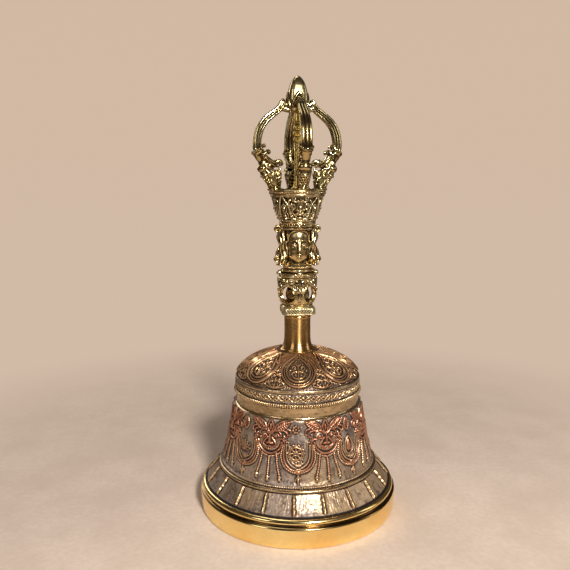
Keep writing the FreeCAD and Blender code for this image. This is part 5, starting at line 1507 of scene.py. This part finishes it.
    # trunk that rolls inwards, and the lower jaw
    g.tube([(15.6, 0, 165.6), (13.4, 0, 165.6), (11.6, 0, 165.6), (10.1, 0, 166.6), (9.0, 0, 167.4), (7.9, 0, 167.0), (7.6, 0, 166.0), (8.4, 0, 165.6)], 1.6, [1.7, 1.6, 1.45, 1.15, 0.95, 0.85, 0.65], k=0.15, flat=(1, 1.25, 1))
    for x, z in ((12.9, 167.3), (11.6, 167.3), (10.5, 168.0)):
        g.tube([(x, -1.5, z - 0.25), (x + 0.1, 0, z + 0.05), (x, 1.5, z - 0.25)], 0.36, k=0.1)
    g.tube([(12.4, 0, 161.4), (10.6, 0, 162.4), (9.0, 0, 162.9), (8.2, 0, 163.7), (8.8, 0, 164.2)], 1.0, [1.3, 1.0, 0.75, 0.5, 0.4], k=0.15, flat=(1, 1.5, 1))
    # beard down the inner side
    for x, z, r in ((8.5, 161.4, 0.72), (8.3, 159.7, 0.74), (8.3, 158.0, 0.68), (8.5, 156.4, 0.6)):
        g.tube([(x + 0.9, -1.7, z + 0.4), (x + 0.1, -0.8, z), (x - 0.1, 0, z - 0.1), (x + 0.1, 0.8, z), (x + 0.9, 1.7, z + 0.4)], r * 0.85, k=0.12)
    v, q, at = cast(g, 1)
    for name, deg in (("prong_right", 0), ("prong_back", 90), ("prong_left", 180), ("prong_front", -90)):
        make_piece("vajra_" + name, about_z(v, deg + PRONG_TURN), q, BRASS_VAJRA, at, stands_for=[name])


def build_finial():
    g = Casting((-6.6, -6.6, 189.4), (6.6, 6.6, 206.8), 0.12)
    four = lambda a: 1.0 / (np.abs(np.cos(a)) ** 3.4 + np.abs(np.sin(a)) ** 3.4) ** (1 / 3.4)
    g.lathe([(0, 190.0), (3.4, 190.1), (4.0, 191.2), (4.35, 193.0), (4.5, 195.0), (4.48, 197.0), (4.2, 199.4), (3.65, 201.6), (2.85, 203.6), (1.9, 205.0), (0.95, 205.95), (0, 206.25)], k=0, four=four)
    for k in range(4):
        T = lambda p: about_z(p, 90 * k)
        # pointed arch with a hollow under it
        g.ball(T([(0, -5.2, 193.2)])[0], (1.9, 1.6, 4.0), k=0.15, R=turn_z(90 * k), cut=True)
        for s in (-1, 1):
            g.tube(T([(3.0 * s, -4.15, 192.2), (2.55 * s, -4.5, 194.2), (1.45 * s, -4.75, 196.4), (0, -4.68, 198.3)]), 0.62, 0.55, k=0.04)
        g.ball(T([(0, -4.1, 196.0)])[0], 0.75, k=0.06)
    g.lathe([(0, 189.0), (1.6, 189.0), (1.6, 194.0), (0, 194.0)], k=0, cut=True)
    v, q, at = cast(g, 1, 0.4, 1.4)
    make_piece("vajra_tip", about_z(v, PRONG_TURN), q, BRASS_VAJRA, at, stands_for=["vajra_finial"])


def build_spindle():
    prof = [(1.6, 129.7), (1.98, 130.1), (1.98, 153.9), (2.9, 154.0), (3.0, 154.5), (2.8, 155.0), (2.2, 155.5), (1.8, 156.3), (1.6, 157.6), (1.42, 160.0), (1.35, 166.0), (1.36, 172.0), (1.42, 175.6),
            (1.6, 176.3), (1.90, 176.9), (1.92, 177.6), (1.6, 178.2), (1.30, 178.5), (1.7, 178.9), (2.05, 179.6), (2.05, 180.3), (1.7, 180.9), (1.30, 181.3), (1.65, 181.7), (1.92, 182.3), (1.88, 183.0),
            (1.5, 183.6), (1.25, 184.1), (1.45, 184.8), (1.62, 186.0), (1.5, 187.3), (1.25, 188.6), (1.1, 189.6), (1.2, 190.2), (1.5, 190.8), (1.5, 193.6), (0.4, 193.75)]
    prof = even(prof, 0.12)
    v, f, h = turned(prof, 96)
    rr = prof[:, 0]
    cav = np.clip((np.convolve(rr, np.ones(9) / 9, "same") - rr) * 3.0, -0.3, 1)
    cav[:4] = 0; cav[-4:] = 0
    cav = np.repeat(cav, 96)
    make_piece("vajra_spindle", v, f, SPINDLE, {"cav_fine": cav, "cav_broad": cav * 0.5}, stands_for=["centre_spindle"])


SPINDLE = antique_brass("spindle_brass", bright=(1.0, 0.76, 0.22), warm=(1.0, 0.68, 0.16), worn=0.0, polish=0.24, metal=0.80)
STRIKER = antique_brass("striker_brass", bright=(0.62, 0.43, 0.19), warm=(0.52, 0.33, 0.14), worn=0.2, polish=0.34)
build_stem()
build_plinth()
build_vase()
build_collar()
build_head()
build_crown()
build_seat()
build_prongs()
build_finial()
build_spindle()

# The nodes that keep their own shape.
for node, mat in (("tie_rod", IRON), ("crown_washer", IRON), ("crown_nut", IRON), ("hanger_link", WIRE), ("clapper_shank", IRON), ("clapper_striker", STRIKER)):
    ob = bpy.data.objects[node]
    if len(ob.material_slots):
        for s in ob.material_slots:
            s.material = mat
    else:
        ob.data.materials.append(mat)


# =================================================== stage, light and camera
def stage():
    me = bpy.data.meshes.new("floor")
    n = 96
    radii = [0.0, 0.1, 0.25, 0.5, 1.0, 1.5]
    verts = [(0, 0, 0)] + [(r * math.cos(2 * math.pi * k / n), r * math.sin(2 * math.pi * k / n), 0) for r in radii[1:] for k in range(n)]
    faces = [(0, 1 + k, 1 + (k + 1) % n) for k in range(n)]
    for i in range(len(radii) - 2):
        a, b = 1 + i * n, 1 + (i + 1) * n
        faces += [(a + k, b + k, b + (k + 1) % n, a + (k + 1) % n) for k in range(n)]
    me.from_pydata(verts, [], faces)
    floor = bpy.data.objects.new("studio_floor", me)
    bpy.context.scene.collection.objects.link(floor)
    m = Mat("pale_floor")
    m.b.inputs["Metallic"].default_value = 0.0
    cloth = m.noise(26, 5, 0.62)
    nap = m.noise(420, 3, 0.6)
    col = m.mix(m.span(cloth, 0.32, 0.68), (0.70, 0.575, 0.485), (0.61, 0.49, 0.405))
    m.colour(m.mix(m.span(nap, 0.35, 0.65, 0.0, 0.35), col, (0.56, 0.44, 0.36)))
    m.rough(0.9)
    m.bump((nap, 0.35, 0.0004))
    # The floor melts into the backdrop with distance from the object.
    away = m.t.nodes.new("ShaderNodeVectorMath"); away.operation = "LENGTH"
    m.link(m.pos, away.inputs[0])
    clear = m.t.nodes.new("ShaderNodeBsdfTransparent")
    mixs = m.t.nodes.new("ShaderNodeMixShader")
    m.link(m.span(away.outputs["Value"], 0.09, 0.36), mixs.inputs[0])
    m.link(m.b.outputs[0], mixs.inputs[1])
    m.link(clear.outputs[0], mixs.inputs[2])
    m.link(mixs.outputs[0], m.out.inputs["Surface"])
    me.materials.append(m.m)

    def lamp(name, kind, loc, aim, energy, size, colour, size_y=None):
        d = bpy.data.lights.new(name, kind)
        d.energy = energy
        d.color = colour
        if kind == "AREA":
            d.shape = "RECTANGLE" if size_y else "DISK"
            d.size = size
            if size_y:
                d.size_y = size_y
        o = bpy.data.objects.new(name, d)
        o.location = loc
        o.rotation_euler = (Vector(aim) - Vector(loc)).to_track_quat("-Z", "Y").to_euler()
        bpy.context.scene.collection.objects.link(o)
        return o

    lamp("key", "AREA", (0.12, -0.62, 0.46), (0, 0, 0.10), 7.6, 0.12, (1.0, 0.96, 0.90))
    lamp("front_fill", "AREA", (-0.70, -0.62, 0.52), (0, 0, 0.09), 1.1, 0.30, (1.0, 0.94, 0.88), 0.5)
    lamp("right_fill", "AREA", (0.85, -0.10, 0.42), (0, 0, 0.10), 0.65, 0.22, (1.0, 0.95, 0.90), 0.6)
    lamp("top", "AREA", (-0.1, 0.25, 1.0), (0, 0, 0.05), 1.1, 0.4, (1.0, 0.96, 0.92), 0.5)
    lamp("back", "AREA", (-0.45, 0.80, 0.5), (0, 0, 0.09), 1.2, 0.25, (1.0, 0.94, 0.88), 0.6)

    w = bpy.data.worlds.new("studio")
    bpy.context.scene.world = w
    w.use_nodes = True
    t = w.node_tree
    t.nodes.clear()
    out = t.nodes.new("ShaderNodeOutputWorld")
    seen = t.nodes.new("ShaderNodeBackground"); seen.inputs[1].default_value = 1.0
    env = t.nodes.new("ShaderNodeBackground"); env.inputs[1].default_value = 1.0
    geo = t.nodes.new("ShaderNodeTexCoord")
    sep = t.nodes.new("ShaderNodeSeparateXYZ"); t.links.new(geo.outputs["Generated"], sep.inputs[0])

    def span(v, a, b, c, d):
        n = t.nodes.new("ShaderNodeMapRange"); n.interpolation_type = "SMOOTHSTEP"
        t.links.new(v, n.inputs["Value"])
        for key, x in (("From Min", a), ("From Max", b), ("To Min", c), ("To Max", d)):
            n.inputs[key].default_value = x
        return n.outputs["Result"]

    def blend(f, a, b):
        n = t.nodes.new("ShaderNodeMix"); n.data_type = "RGBA"
        t.links.new(f, n.inputs[0])
        for i, v in ((6, a), (7, b)):
            if isinstance(v, tuple):
                n.inputs[i].default_value = (*v, 1)
            else:
                t.links.new(v, n.inputs[i])
        return n.outputs[2]

    # What the metal mirrors: a dim room, a warm wall behind, a pale ceiling, a few soft patches.
    patch = t.nodes.new("ShaderNodeTexNoise"); patch.inputs["Scale"].default_value = 2.3; patch.inputs["Detail"].default_value = 2.0
    t.links.new(geo.outputs["Generated"], patch.inputs["Vector"])
    room = blend(span(patch.outputs["Fac"], 0.44, 0.62, 0.0, 1.0), (0.016, 0.012, 0.009), (0.120, 0.088, 0.062))
    wall = blend(span(sep.outputs["Y"], 0.1, 0.75, 0.0, 1.0), room, (0.085, 0.065, 0.050))
    roof = blend(span(sep.outputs["Z"], 0.45, 0.9, 0.0, 1.0), wall, (0.060, 0.050, 0.042))
    t.links.new(roof, env.inputs[0])
    # What the camera sees behind the object: a plain pale backdrop.
    pale = blend(span(sep.outputs["Z"], -0.25, 0.35, 0.0, 1.0), (0.64, 0.495, 0.385), (0.64, 0.485, 0.365))
    t.links.new(pale, seen.inputs[0])
    path = t.nodes.new("ShaderNodeLightPath")
    mix = t.nodes.new("ShaderNodeMixShader")
    t.links.new(path.outputs["Is Camera Ray"], mix.inputs[0])
    t.links.new(env.outputs[0], mix.inputs[1])
    t.links.new(seen.outputs[0], mix.inputs[2])
    t.links.new(mix.outputs[0], out.inputs[0])

    cam = bpy.data.cameras.new("camera")
    cam.sensor_width = 36.0
    cam.lens = 600.0 * 36.0 / 570.0
    cam.clip_start, cam.clip_end = 0.01, 20
    o = bpy.data.objects.new("camera", cam)
    turn = math.radians(-6.0)
    x, y = -6.0, -288.0
    o.location = ((x * math.cos(turn) - y * math.sin(turn)) * MM, (x * math.sin(turn) + y * math.cos(turn)) * MM, 148.5 * MM)
    look = Matrix.Rotation(turn, 3, "Z") @ Matrix.Rotation(math.radians(90 - 7.9), 3, "X") @ Matrix.Rotation(math.radians(ROLL), 3, "Z")
    o.rotation_euler = look.to_euler()
    bpy.context.scene.collection.objects.link(o)
    bpy.context.scene.camera = o
    bpy.context.scene.view_settings.view_transform = "Standard"
    bpy.context.scene.view_settings.look = "None"
    bpy.context.scene.view_settings.exposure = 0.0


ROLL = -0.15
stage()
